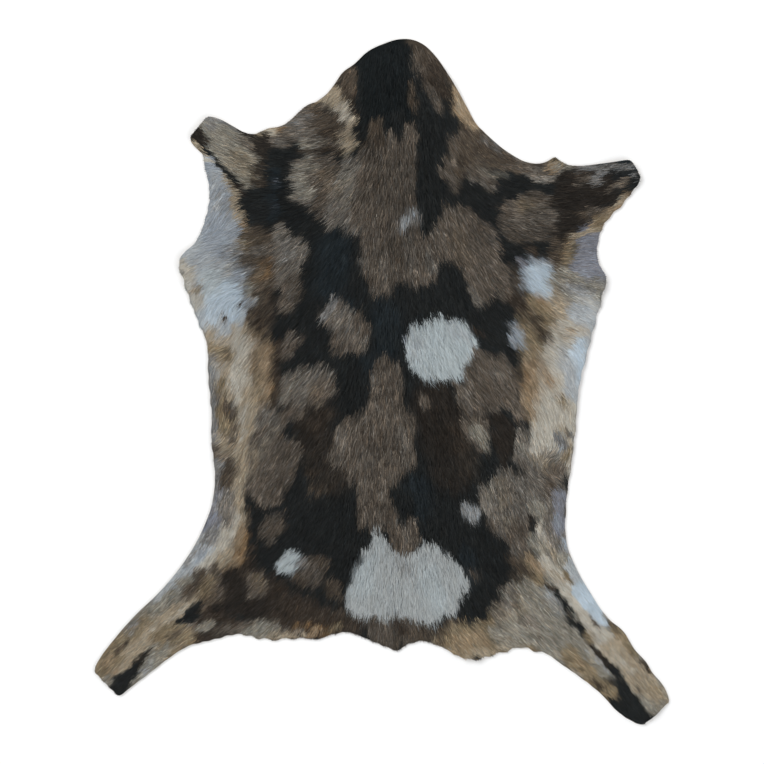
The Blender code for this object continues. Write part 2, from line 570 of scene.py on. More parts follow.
@dataclass(frozen=True)
class CoatChart:
    """The whole coat's colours, lie and length at any place.

    ragged is how far noise bends the markings, in millimetres, with wave and fray as its coarse
    and fine cells. A hair near a marking's edge takes one colour or the other over choice_edge of
    its choice, less so where the marking is softer than crisp.
    """

    regions: tuple[Region, ...]
    base: Shade = PITCH
    gain: float = 1.17
    mottle: float = 0.42
    ragged: float = 3.6
    wave: float = 15.0
    fray: float = 6.0
    fray_share: float = 0.5
    choice_edge: float = 0.3
    crisp: float = 4.0
    soft_run: float = 10.0
    most_blend: float = 0.85
    lie_reach: float = 12.0
    growth_reach: float = 20.0

    def _bend(self, seed: int, x: np.ndarray, y: np.ndarray) -> np.ndarray:
        """How far the markings are bent at each place, in millimetres.

        Args:
            seed: The seed of the coarse noise; the fine noise has the next one.
            x: Places across the skin, in millimetres.
            y: Places along the skin, in millimetres.

        Returns:
            A shift for each place.
        """
        fine = self.fray_share * Waver(self.fray, seed + 1).at(x, y)
        return self.ragged * (Waver(self.wave, seed).at(x, y) + fine)

    def colour_at(
        self, x: np.ndarray, y: np.ndarray, choice: np.ndarray | None = None
    ) -> tuple[np.ndarray, np.ndarray]:
        """Reads the markings, painted in order over the base.

        Args:
            x: Places across the skin, in millimetres.
            y: Places along the skin, in millimetres.
            choice: For hair, a value from 0 to 1 each, to take one colour or the other.

        Returns:
            Linear colours, one row each, and how far single hairs stray from them.
        """
        x, y = x + self._bend(3, x, y), y + self._bend(5, x, y)
        colour = np.tile(self.base.value.light(), (x.size, 1))
        fleck = np.full(x.size, self.base.value.fleck)
        for region in self.regions:
            for marking in region.markings:
                share = marking.share_at(x, y)
                if choice is not None:
                    edge = (share - choice) / self.choice_edge + 0.5
                    picked = np.clip(edge, 0, 1) * (share > 0)
                    blend = max((marking.soft - self.crisp) / self.soft_run, 0.0)
                    blend = min(blend, self.most_blend)
                    share = picked + blend * (share - picked)
                tint = marking.shade.value
                colour += share[:, None] * (tint.light() - colour)
                fleck += share * (tint.fleck - fleck)
        cloud = Waver(24, 21).at(x, y) + 0.8 * Waver(9, 22).at(x, y)
        colour *= np.exp(self.mottle * fleck * cloud)[:, None]
        return colour * self.gain, fleck

    def heading_at(self, x: np.ndarray, y: np.ndarray) -> np.ndarray:
        """The way the hair lies.

        Args:
            x: Places across the skin, in millimetres.
            y: Places along the skin, in millimetres.

        Returns:
            Headings in radians, from +X towards +Y.
        """
        run_x, run_y = np.zeros_like(x), np.zeros_like(x)
        for region in self.regions:
            for lie in region.lies:
                weight = lie.weight(x, y, self.lie_reach, -1.6)
                run_x += weight * math.cos(math.radians(lie.heading))
                run_y += weight * math.sin(math.radians(lie.heading))
        return np.arctan2(run_y, run_x)

    def growth_at(self, x: np.ndarray, y: np.ndarray) -> tuple[np.ndarray, np.ndarray]:
        """The hair's length and sleekness, blended from region to region.

        Args:
            x: Places across the skin, in millimetres.
            y: Places along the skin, in millimetres.

        Returns:
            Lengths in millimetres, and sleekness from 0, shaggy, to 1, smooth.
        """
        length, sleek, weights = (np.zeros_like(x) for _ in range(3))
        for region in self.regions:
            for lie in region.lies:
                weight = lie.weight(x, y, self.growth_reach, -1.5)
                length += weight * region.hair_length
                sleek += weight * region.sleek
                weights += weight
        return length / weights, sleek / weights

    def region_at(self, x: np.ndarray, y: np.ndarray) -> np.ndarray:
        """Which region each place belongs to: the one whose middle is nearest."""
        away = [(x - r.x) ** 2 + (y - r.y) ** 2 for r in self.regions]
        return np.argmin(np.array(away), axis=0)


def combed(*rows: tuple[Number, ...]) -> tuple[Lie, ...]:
    """The lie of the hair from rows of x, y and heading."""
    return tuple(Lie(*row) for row in rows)


def strokes(*rows: tuple) -> tuple[Marking, ...]:
    """Markings from rows of shade, x, y, to x, to y, radius, to radius, cover and soft."""
    return tuple(Marking(*row) for row in rows)

# The neck. A black crest between brown sides, with cream on the left edge and tan on the right.
NECK = Region(
    area=Area.NECK, x=10, y=360, hair_length=19, sleek=0.2,
    lies=combed(
        (10, 420, -90), (-20, 390, -97), (40, 390, -78), (0, 340, -92), (-48, 385, -118),
        (-60, 355, -135), (-45, 330, -138), (-45, 300, -148), (62, 395, -62), (75, 350, -66),
        (100, 335, -58), (60, 320, -82),
    ),
    markings=strokes(
        (UMBER, -50, 394, -64, 368, 13, 11), (BUFF, -80, 350, -66, 364, 9, 8),
        (STONE, -114, 326, -76, 348, 12, 10), (BARK, 44, 424, 92, 374, 13, 11, 0.8, 12),
        (TAN, 97, 364, 120, 324, 9, 9, 1, 6), (INK, 2, 402, 8, 335, 34, 30, 1, 18),
        (BARK, -46, 398, -43, 362, 9, 12), (UMBER, -38, 352, -34, 330, 5, 3, 0.8, 6),
        (BUFF, -74, 352, -60, 354, 10, 9), (BUFF, -53, 342, -42, 325, 10, 9),
        (CREAM, -51, 339, -43, 328, 7, 7, 0.7, 8), (BUFF, -47, 312, -42, 298, 7, 8, 0.9, 8),
        (BARK, 46, 424, 58, 394, 9, 15, 0.9, 10), (UMBER, 62, 382, 78, 356, 15, 10, 1, 10),
        (UMBER, 50, 402, 64, 376, 6, 8, 0.6, 10), (BARK, 36, 362, 40, 338, 6, 5, 0.8, 8),
        (TAUPE, 46, 402, 50, 384, 5, 6, 0.5, 8), (TAUPE, 56, 366, 74, 338, 5, 6, 0.7, 8),
        (TAUPE, 40, 392, 40, 380, 4, 3, 0.5, 6), (TAN, 95, 356, 100, 340, 5, 8),
        (TAN, 98, 336, 110, 322, 10, 9), (BUFF, 95, 352, 98, 340, 3, 4, 0.6, 6),
    ),
)

# The left shoulder and foreleg. Ash grey leg with a black hoof end, taupe neck side, black
# hollow.
LEFT_SHOULDER = Region(
    area=Area.FORELEGS, x=-150, y=280, hair_length=15, sleek=0.6,
    lies=combed(
        (-90, 332, 184), (-110, 308, 186), (-75, 305, 192), (-80, 285, 186), (-105, 265, 180),
        (-105, 235, 190), (-70, 240, 212), (-140, 300, 172), (-140, 250, 178), (-140, 205, 195),
        (-165, 290, 160), (-165, 255, 158), (-195, 300, 154), (-222, 316, 146), (-190, 265, 146),
        (-232, 300, 140),
    ),
    markings=strokes(
        (SMOKE, -222, 326, -176, 312, 12, 8), (WARM_BLACK, -172, 312, -150, 308, 7, 9),
        (BUFF, -150, 314, -124, 320, 8, 7), (MIST, -226, 282, -214, 240, 8, 18, 1, 6),
        (MIST, -212, 232, -238, 162, 26, 26, 1, 10), (TAUPE, -110, 324, -62, 308, 22, 22),
        (STONE, -112, 316, -90, 300, 12, 10, 0.7, 10),
        (BARK, -84, 338, -66, 312, 13, 14, 0.85, 10), (UMBER, -70, 312, -58, 304, 8, 7, 0.6, 7.2),
        (SMOKE, -112, 322, -96, 330, 8, 8, 0.35, 7.2), (ASH, -100, 300, -70, 297, 7, 6, 0.4, 7.2),
        (RUST, -131, 314, -121, 313, 3, 4, 0.6, 6), (BUFF, -148, 313, -136, 311, 6, 8, 1, 6),
        (CREAM, -146, 313, -138, 309, 5, 6, 0.6, 8),
        (TAUPE, -140, 302, -126, 300, 6, 8, 0.9, 7.2),
        (ASH, -218, 314, -182, 286, 15, 24, 1, 7.2), (ASH, -178, 282, -168, 258, 22, 18, 1, 10.8),
        (OLIVE, -185, 280, -166, 262, 12, 12, 0.5, 14.4),
        (TAUPE, -172, 300, -158, 290, 8, 10, 0.8, 10.8),
        (WARM_BLACK, -150, 306, -154, 288, 7, 9, 0.9, 9.6),
        (UMBER, -157, 276, -155, 250, 7, 8, 0.9, 10),
        (SMOKE, -214, 322, -205, 318, 7, 5, 0.7, 7.2),
        (WARM_BLACK, -230, 310, -222, 302, 10, 8, 1, 6),
        (BUFF, -241, 301, -226, 289, 5.5, 5, 1, 3), (MIST, -214, 268, -206, 232, 9, 16, 1, 6),
        (MIST, -208, 225, -208, 185, 20, 26, 1, 10), (ASH, -206, 232, -200, 206, 8, 9, 0.35, 12),
        (SILVER, -214, 264, -209, 248, 6, 8, 0.7, 7.2),
        (CREAM, -222, 279, -214, 277, 4, 4, 0.8, 3), (BUFF, -203, 267, -190, 238, 3.5, 6, 1, 4),
        (BUFF, -188, 234, -181, 200, 6, 6, 1, 6), (TAN, -178, 198, -170, 184, 4, 5, 0.8, 7),
        (UMBER, -197, 246, -195, 244, 2, 2, 0.6, 2),
        (UMBER, -192, 227, -191, 225, 1.5, 1.5, 0.6, 2),
        (PITCH, -224, 297, -202, 267, 4.5, 3, 1, 2.5), (PITCH, -202, 267, -184, 246, 3, 5, 1, 3),
        (PITCH, -182, 242, -170, 208, 5, 7, 1, 6), (PITCH, -164, 232, -158, 196, 12, 12, 1, 7.2),
        # A black stripe with a painted bluish sheen, and over it a faint lilac line: a painted
        # highlight along the shoulder's ridge.
        (BLACK_PAINTED_SHEEN, -137, 262, -135, 206, 6, 7, 1, 7.2),
        (LILAC, -136, 250, -136, 212, 2, 2.5, 0.18, 6),
        (STONE, -98, 298, -84, 278, 9, 9, 0.9, 12), (STONE, -134, 298, -128, 296, 6, 6, 0.9, 10),
        (UMBER, -82, 288, -52, 283, 1.8, 2.2, 0.5, 5), (BUFF, -50, 308, -45, 292, 6, 6, 0.9, 9),
        (PITCH, -36, 284, -31, 264, 5, 3, 0.9, 6),
    ),
)

# The withers: the large taupe saddle with its black notches.
WITHERS = Region(
    area=Area.NECK, x=0, y=240, hair_length=21, sleek=0.1,
    lies=combed(
        (-50, 262, -138), (-45, 225, -128), (-15, 260, -108), (-10, 215, -100), (5, 300, -92),
        (12, 250, -94), (35, 290, -84), (35, 230, -86), (60, 250, -76), (-80, 200, -140),
        (-60, 180, -122), (0, 165, -90), (45, 170, -80),
    ),
    markings=strokes(
        (STONE, -102, 262, -92, 234, 16, 18), (ASH, -103, 262, -98, 238, 11, 12, 0.8, 11),
        (ASH, -94, 274, -86, 266, 8, 8, 0.7, 10), (TAUPE, -74, 262, -66, 226, 20, 26),
        (STONE, -38, 266, -40, 218, 16, 30), (ASH, -44, 262, -50, 226, 8, 12, 0.3, 12),
        (TAUPE, -12, 262, -5, 216, 18, 30), (BARK, -8, 322, -12, 292, 7, 17),
        (UMBER, -8, 316, -10, 292, 5, 10, 0.6, 9.6), (DUSK, -18, 285, 6, 268, 14, 16),
        (TAUPE, 14, 302, 16, 262, 7, 16), (TAUPE, 36, 312, 32, 285, 7, 12),
        (DUSK, 24, 270, 20, 225, 19, 22), (DUSK, 2, 240, 6, 190, 14, 22, 0.9, 14),
        (ASH, -58, 258, -42, 246, 6, 8, 0.3, 9.6), (TAN, -78, 256, -58, 238, 8, 10, 0.22, 12),
        (UMBER, -60, 262, -55, 256, 5, 4, 0.4, 6), (BARK, -78, 232, -70, 222, 8, 8, 0.35, 9.6),
        (BARK, -40, 232, -32, 205, 9, 14, 0.35, 14.4), (UMBER, -8, 252, -5, 244, 3.5, 4, 0.7, 5),
        (PITCH, 17, 326, 24, 297, 11, 2), (PITCH, -118, 225, -112, 205, 8, 9, 0.9, 9.6),
        (STONE, -60, 205, -40, 196, 16, 14), (TAUPE, -20, 205, 0, 196, 22, 26),
        (DUSK, 26, 215, 28, 190, 16, 20), (TAUPE, -8, 180, 0, 132, 22, 21),
        (DUSK, 30, 182, 36, 142, 26, 24), (TAUPE, 52, 165, 52, 131, 16, 15),
        (TAUPE, 2, 126, 6, 110, 13, 7), (STONE, -26, 160, -22, 136, 7, 5, 0.5, 8),
        (STONE, 0, 150, 2, 118, 8, 6, 0.4, 9.6), (STONE, 62, 158, 60, 138, 7, 6, 0.9, 8),
        (STONE, 34, 170, 38, 140, 8, 8, 0.35, 10.8), (BARK, 18, 175, 22, 140, 6, 6, 0.4, 8),
        (PITCH, 48, 228, 56, 184, 8, 5, 1, 5), (SMOKE, 37, 208, 32, 196, 7, 9, 0.8, 10),
        (SILVER, 38, 208, 29, 190, 4, 5, 0.65, 8), (PITCH, 32, 182, 33, 176, 3, 2, 0.6, 4),
        (SMOKE, 47, 204, 45, 192, 4, 4, 0.6, 7), (STONE, -84, 272, -94, 264, 7, 7, 0.9, 10),
        (UMBER, -106, 285, -64, 288, 3, 5, 0.8, 6), (ASH, -94, 270, -86, 266, 5, 5, 0.8, 8),
        (ASH, -101, 297, -95, 292, 5, 5, 0.8, 8),
    ),
)

# The right shoulder and foreleg. Brown shoulder, round taupe spot on black, tan lower edge.
RIGHT_SHOULDER = Region(
    area=Area.FORELEGS, x=190, y=235, hair_length=15, sleek=0.5,
    lies=combed(
        (110, 300, -50), (85, 262, -56), (130, 275, -38), (150, 258, -28), (110, 235, -46),
        (175, 268, -14), (202, 252, -8), (216, 274, 40), (165, 215, -20), (185, 212, -8),
        (210, 205, 2), (180, 180, -24), (225, 255, 6), (245, 235, 6), (295, 258, 12),
        (290, 240, 12), (278, 215, 28), (250, 198, 26), (235, 175, 16), (262, 165, 4),
        (255, 132, -8),
    ),
    markings=strokes(
        (BARK, 124, 306, 152, 292, 13, 13, 1, 9), (TAUPE, 150, 292, 208, 274, 13, 8, 1, 9),
        (SMOKE, 132, 306, 176, 280, 5, 5, 0.4, 8), (OLIVE, 214, 278, 232, 270, 7, 6, 1, 6),
        # Black with a painted bluish sheen at the end of this row.
        (UMBER, 232, 270, 262, 272, 5, 5, 1, 6), (BLACK_PAINTED_SHEEN, 270, 272, 312, 272, 12, 14),
        (TAN, 308, 228, 268, 190, 8, 14), (BARK, 222, 172, 222, 148, 17, 15, 1, 10),
        (LILAC, 262, 184, 276, 128, 18, 20), (ASH, 222, 130, 268, 118, 14, 14, 1, 12),
        (BARK, 106, 298, 128, 280, 17, 19, 1, 7.2), (BARK, 96, 284, 92, 262, 13, 12),
        (BARK, 145, 278, 180, 266, 12, 9, 1, 7.2), (TAUPE, 90, 298, 85, 264, 7, 6, 0.6, 8),
        (TAUPE, 81, 260, 92, 244, 8, 6, 0.9, 8), (TAUPE, 122, 262, 134, 252, 15, 12, 0.9, 9.6),
        (ASH, 128, 260, 146, 256, 7, 6, 0.45, 9.6), (STONE, 110, 252, 134, 240, 3, 3, 0.6, 4),
        (TAUPE, 160, 272, 192, 262, 7, 7, 0.8, 8.4), (SMOKE, 128, 300, 150, 284, 4, 4, 0.35, 6),
        (TAN, 104, 334, 114, 321, 9, 8, 1, 7), (STONE, 196, 256, 226, 260, 9, 6, 0.9, 7),
        (DUSK, 204, 262, 216, 264, 5, 5, 0.7, 6), (TAN, 215, 276, 213, 266, 5, 6, 1, 5),
        (ASH, 222, 270, 232, 265, 7, 5, 0.9, 6), (PITCH, 150, 248, 168, 255, 8, 3, 1, 7),
        (PITCH, 170, 254, 190, 250, 4, 2, 1, 3), (WARM_BLACK, 238, 240, 230, 195, 25, 22, 1, 7.2),
        (WARM_BLACK, 250, 245, 290, 257, 17, 19, 1, 7), (SMOKE, 246, 267, 272, 268, 5, 5, 0.8, 7),
        (PITCH, 302, 262, 314, 248, 12, 9, 1, 7), (TAUPE, 174, 206, 192, 206, 26, 27, 1, 10),
        (DUSK, 174, 186, 194, 184, 15, 14, 0.9, 10), (TAUPE, 188, 232, 205, 226, 8, 8, 0.9, 7.2),
        (STONE, 178, 196, 205, 208, 12, 12, 0.4, 14.4),
        (OLIVE, 175, 218, 190, 222, 8, 8, 0.3, 10.8), (BARK, 168, 186, 190, 182, 10, 8, 0.3, 9.6),
        (SMOKE, 266, 250, 278, 262, 4, 5.5, 0.75, 5), (TAUPE, 252, 251, 262, 254, 5, 5, 0.5, 6),
        (TAUPE, 284, 241, 302, 247, 5, 5, 0.9, 5), (BUFF, 290, 244, 300, 247, 2, 2, 0.3, 4),
        (SMOKE, 280, 270, 312, 267, 5, 5, 0.7, 6), (SMOKE, 315, 256, 319, 250, 3, 2, 0.5, 3),
        (BUFF, 302, 232, 292, 224, 4, 5, 1, 3), (TAN, 290, 212, 266, 198, 5, 8, 1, 7),
        (WARM_BLACK, 290, 234, 266, 224, 6, 7, 1, 8), (BARK, 264, 212, 254, 210, 5, 5, 0.8, 8),
        (BUFF, 268, 193, 240, 180, 5, 4, 0.9, 5), (OLIVE, 280, 206, 266, 198, 5, 6, 0.8, 7),
        (OLIVE, 235, 174, 230, 152, 8, 8, 0.7, 12), (BARK, 214, 158, 218, 146, 7, 8, 0.7, 7.2),
        (BUFF, 243, 180, 238, 156, 4, 5, 0.4, 8), (LILAC, 256, 172, 256, 142, 12, 16, 1, 7),
        (MIST, 248, 136, 258, 138, 5, 5, 0.35, 9), (SMOKE, 270, 128, 276, 118, 6, 5, 0.7, 5),
        (PITCH, 172, 162, 204, 170, 7, 6, 1, 8), (LILAC, 172, 148, 179, 145, 6, 6, 0.75, 8),
        (SMOKE, 200, 148, 212, 144, 5, 6, 0.7, 8),
    ),
)

# The left elbow and flank. Pale blue-grey whorls, then cream, tan and rust down to the groin.
LEFT_FLANK = Region(
    area=Area.LEFT_SIDE, x=-185, y=30, hair_length=18, sleek=0.8,
    lies=combed(
        (-208, 245, -112), (-205, 205, -118), (-232, 162, -158), (-205, 168, -164),
        (-175, 170, -168), (-240, 140, -148), (-200, 140, -166), (-165, 145, -158),
        (-222, 112, -118), (-205, 112, -150), (-185, 112, -165), (-170, 100, -138),
        (-218, 80, -112), (-190, 88, -95), (-160, 65, -130), (-212, 55, -122), (-200, 42, 188),
        (-182, 40, -108), (-155, 30, -128), (-210, 5, -100), (-182, 0, -112), (-150, -10, -128),
        (-205, -40, -98), (-175, -50, -112), (-200, -85, -155), (-172, -95, -112),
        (-150, -60, -128),
    ),
    markings=strokes(
        (SILVER, -218, 158, -208, 76, 36, 30, 1, 14), (MIST, -206, 186, -202, 152, 22, 20, 1, 14),
        (BUFF, -192, 58, -190, -20, 30, 26, 1, 14), (TAUPE, -192, -30, -192, -112, 26, 28, 1, 14),
        (BARK, -158, 180, -154, 72, 15, 16, 1, 12), (SILVER, -228, 154, -206, 138, 14, 16, 1, 14),
        (WHITE, -218, 130, -214, 112, 10, 12, 0.8, 14),
        (ASH, -190, 138, -182, 128, 10, 10, 0.6, 14), (ICE, -196, 118, -188, 102, 9, 15, 1, 14),
        (ICE, -206, 100, -212, 80, 13, 12, 0.85, 14), (ICE, -186, 92, -181, 76, 9, 6, 0.8, 10),
        (SILVER, -188, 76, -196, 60, 12, 14, 1, 10.5),
        (SMOKE, -188, 160, -172, 148, 10, 12, 0.9, 16),
        (MIST, -228, 158, -214, 168, 8, 8, 0.5, 13.5),
        (CREAM, -250, 150, -244, 132, 5, 6, 0.9, 6), (CREAM, -241, 126, -228, 96, 7, 7, 0.8, 10),
        (TAN, -236, 118, -230, 117, 4, 5, 0.7, 6), (OLIVE, -232, 118, -229, 114, 4, 4, 0.9, 5),
        (ICE, -192, 94, -187, 80, 9, 8, 0.9, 10), (DUSK, -200, 86, -197, 75, 2.4, 2.4, 0.9, 2.5),
        (UMBER, -199, 83, -198, 78, 1.2, 1.2, 0.8, 2),
        (DUSK, -178, 98, -176, 90, 2.2, 2.2, 0.85, 2.5), (BUFF, -190, 70, -188, 56, 2, 4, 0.7, 5),
        (BUFF, -204, 52, -190, 50, 5, 7, 0.8, 10), (CREAM, -183, 66, -183, 30, 4, 9, 0.9, 10.5),
        (OLIVE, -178, 172, -160, 168, 7, 12, 0.8, 12),
        (BARK, -168, 180, -152, 160, 10, 12, 0.9, 12), (TAUPE, -174, 152, -150, 162, 8, 9, 1, 12),
        (STONE, -156, 163, -148, 161, 5, 6, 0.7, 9), (BARK, -152, 150, -146, 122, 13, 13, 1, 12),
        (TAN, -158, 146, -156, 122, 4, 5, 0.4, 12), (RUST, -149, 144, -147, 132, 5, 5, 0.45, 10),
        (TAUPE, -156, 112, -160, 90, 7, 7, 0.9, 10.5), (MIST, -180, 134, -173, 102, 9, 11, 1, 12),
        (ICE, -184, 112, -182, 96, 7, 8, 0.9, 10), (ASH, -166, 116, -162, 104, 7, 7, 0.8, 10),
        (BARK, -150, 108, -156, 72, 9, 10, 0.9, 12), (UMBER, -156, 84, -150, 70, 5, 8, 0.7, 10.5),
        (UMBER, -140, 92, -142, 78, 8, 6, 0.6, 12), (TAN, -158, 50, -156, 12, 11, 16, 0.6, 18),
        (TAN, -146, 42, -146, -16, 9, 12, 0.9, 16), (CREAM, -171, 38, -181, 2, 9, 12, 1, 14),
        (CREAM, -184, 2, -180, -22, 12, 10, 1, 12), (BUFF, -166, -20, -172, -64, 14, 10, 1, 10),
        (CREAM, -172, -30, -168, -46, 5, 5, 0.5, 10), (BUFF, -176, -70, -178, -118, 8, 7, 0.9, 9),
        (CREAM, -172, -38, -175, -72, 4, 4, 0.6, 6), (RUST, -144, 40, -141, 16, 4, 4, 0.3, 10),
        (RUST, -140, 0, -143, -14, 4, 4, 0.35, 10), (OLIVE, -172, 18, -160, 4, 7, 9, 0.4, 13.5),
        (OLIVE, -158, -8, -160, -22, 5, 6, 0.5, 8), (UMBER, -133, 42, -135, -30, 6, 6, 0.9, 12),
        (OLIVE, -210, 42, -196, 30, 8, 9, 0.9, 10.5), (BARK, -205, 40, -196, 28, 3, 3, 0.4, 5),
        (SMOKE, -217, 30, -210, -70, 5, 7, 1, 10), (SILVER, -208, 14, -206, 4, 7, 6, 0.5, 10),
        (OLIVE, -200, 0, -200, -60, 5, 6, 1, 6), (BARK, -198, -12, -191, -48, 4, 6, 0.85, 5),
        (RUST, -190, -40, -191, -48, 3, 3, 0.4, 4), (OLIVE, -192, -52, -195, -68, 6, 7, 0.8, 10),
        (LILAC, -192, -68, -193, -74, 3, 3, 0.5, 4), (BUFF, -208, -66, -196, -84, 4, 5, 0.9, 5),
        (BUFF, -194, -90, -178, -86, 7, 7, 1, 8), (TAUPE, -198, -96, -190, -118, 8, 8, 0.8, 12),
        (BARK, -178, 95, -176, 89, 2.4, 2.2, 0.9, 3), (BARK, -199, 86, -197, 79, 2, 2, 0.7, 3),
        (UMBER, -181, 243, -178, 234, 5, 5, 0.9, 7), (DUSK, -104, 110, -106, 101, 6, 6, 0.8, 8),
        (STONE, -155, 164, -147, 159, 6, 6, 0.9, 8), (BUFF, -194, -10, -193, -20, 5, 5, 0.9, 8),
    ),
)

# The back: black with a painted bluish sheen, with taupe patches on its left and down its middle.
BACK = Region(
    area=Area.BACK, x=-35, y=40, hair_length=22, sleek=0.1,
    lies=combed(
        (-118, 165, -136), (-118, 105, -132), (-118, 45, -130), (-80, 140, -125), (-62, 85, -124),
        (-40, 55, -110), (-100, 5, -130), (-75, -15, -126), (-50, 130, -108), (0, 60, -92),
        (5, 0, -94), (-40, -70, -104), (0, -90, -92), (25, -80, -86), (-90, -70, -122),
        (-120, -100, -124), (-75, -130, -112),
    ),
    markings=strokes(
        (UMBER, -96, -44, -62, -124, 26, 22, 0.55, 20),
        (WARM_BLACK, 62, -28, 88, -112, 28, 28, 0.8, 20),
        # Black with a painted bluish sheen.
        (BLACK_PAINTED_SHEEN, -62, 165, -66, 125, 22, 22, 1, 21.6),
        (BLACK_PAINTED_SHEEN, 5, 75, 5, 40, 22, 16, 0.8, 21.6),
        (BLACK_PAINTED_SHEEN, -20, 22, -12, 10, 12, 10, 0.8, 14.4), (STONE, -128, 180, -122, 140, 15, 20),
        (STONE, -112, 168, -104, 152, 13, 8), (STONE, -125, 140, -134, 122, 10, 9),
        (SMOKE, -122, 172, -118, 150, 8, 8, 0.35, 10.8),
        (TAUPE, -110, 122, -122, 96, 10, 12, 1, 9.6), (STONE, -110, 118, -116, 100, 5, 6, 0.6, 6),
        (TAUPE, -112, 50, -122, 36, 10, 10, 1, 8.4), (STONE, -112, 52, -120, 42, 5, 5, 0.5, 6),
        (TAUPE, -56, 92, -70, 80, 9, 10), (SMOKE, -58, 98, -72, 80, 6, 7, 0.9, 7),
        (STONE, -50, 72, -38, 56, 18, 20, 1, 8.4), (TAUPE, -32, 74, -24, 60, 8, 9),
        (TAUPE, -54, 50, -40, 44, 13, 12), (STONE, -60, 56, -28, 50, 6, 6, 0.35, 8),
        (STONE, -100, 2, -76, 0, 15, 16, 1, 8.4), (STONE, -116, -6, -122, -22, 13, 10, 1, 8.4),
        (STONE, -104, -8, -102, -24, 11, 10, 1, 9), (TAUPE, -74, -10, -84, -24, 15, 12, 1, 8.4),
        (ASH, -108, 2, -122, -20, 5, 6, 0.35, 7), (TAN, -86, -8, -84, -26, 6, 6, 0.25, 8),
        (TAUPE, -108, -42, -121, -52, 11, 13, 1, 8.4),
        (UMBER, -70, -42, -90, -60, 12, 14, 0.8, 14.4),
        (STONE, -148, -42, -162, -72, 16, 16, 1, 9.6),
        (TAUPE, -138, -76, -148, -130, 22, 24, 1, 9.6),
        (TAUPE, -114, -90, -124, -124, 14, 12, 1, 8.4),
        (TAUPE, -140, -142, -146, -152, 16, 11, 1, 8.4),
        (ASH, -135, -58, -150, -92, 6, 8, 0.3, 10.8),
        (STONE, -110, -92, -118, -112, 7, 7, 0.4, 9.6),
        (BUFF, -164, -92, -172, -118, 8, 8, 0.6, 10.8), (PITCH, -116, -62, -124, -68, 7, 5),
        (WARM_BLACK, -108, -58, -92, -76, 6, 8, 0.9, 8), (TAUPE, 3, 8, 6, -20, 17, 18),
        (TAUPE, 10, 6, 12, -12, 14, 12), (STONE, -8, 4, -8, -12, 5, 5, 0.5, 6),
        (TAUPE, 2, -36, -6, -104, 24, 32, 1, 8.4), (TAUPE, -41, -68, -48, -92, 18, 21, 1, 8.4),
        (TAUPE, 18, -100, 20, -110, 10, 9, 1, 8), (TAUPE, 24, -54, 26, -98, 18, 16),
        (TAUPE, -36, -110, -34, -118, 16, 10), (STONE, -50, -68, -56, -92, 9, 8, 0.5, 10.8),
        (BARK, -2, -58, 0, -84, 8, 8, 0.35, 12), (STONE, 26, -66, 30, -98, 8, 8, 0.4, 9.6),
        (STONE, -20, -92, -22, -112, 12, 10, 0.3, 12), (TAUPE, -10, -120, -12, -172, 19, 20),
        (STONE, 0, -126, 2, -150, 5, 6, 0.4, 6), (BARK, -72, -136, -84, -138, 6, 7, 0.75, 9.6),
        (UMBER, -84, -112, -92, -112, 6, 5, 0.7, 7), (TAUPE, -17, -42, -27, -54, 9, 11, 1, 8),
        # Black with a painted bluish sheen at the end of this row.
        (STONE, 60, 154, 65, 143, 8, 8, 0.9, 9), (BLACK_PAINTED_SHEEN, -46, 96, -40, 92, 6, 6, 0.7, 8),
        (MIST, 27, 52, 28, 46, 3, 3, 0.8, 5), (TAUPE, 15, 124, 15, 116, 5, 5, 0.9, 8),
        (TAUPE, -8, 116, -7, 108, 6, 5, 0.9, 8), (TAUPE, -112, -38, -118, -46, 6, 6, 0.9, 8),
    ),
)

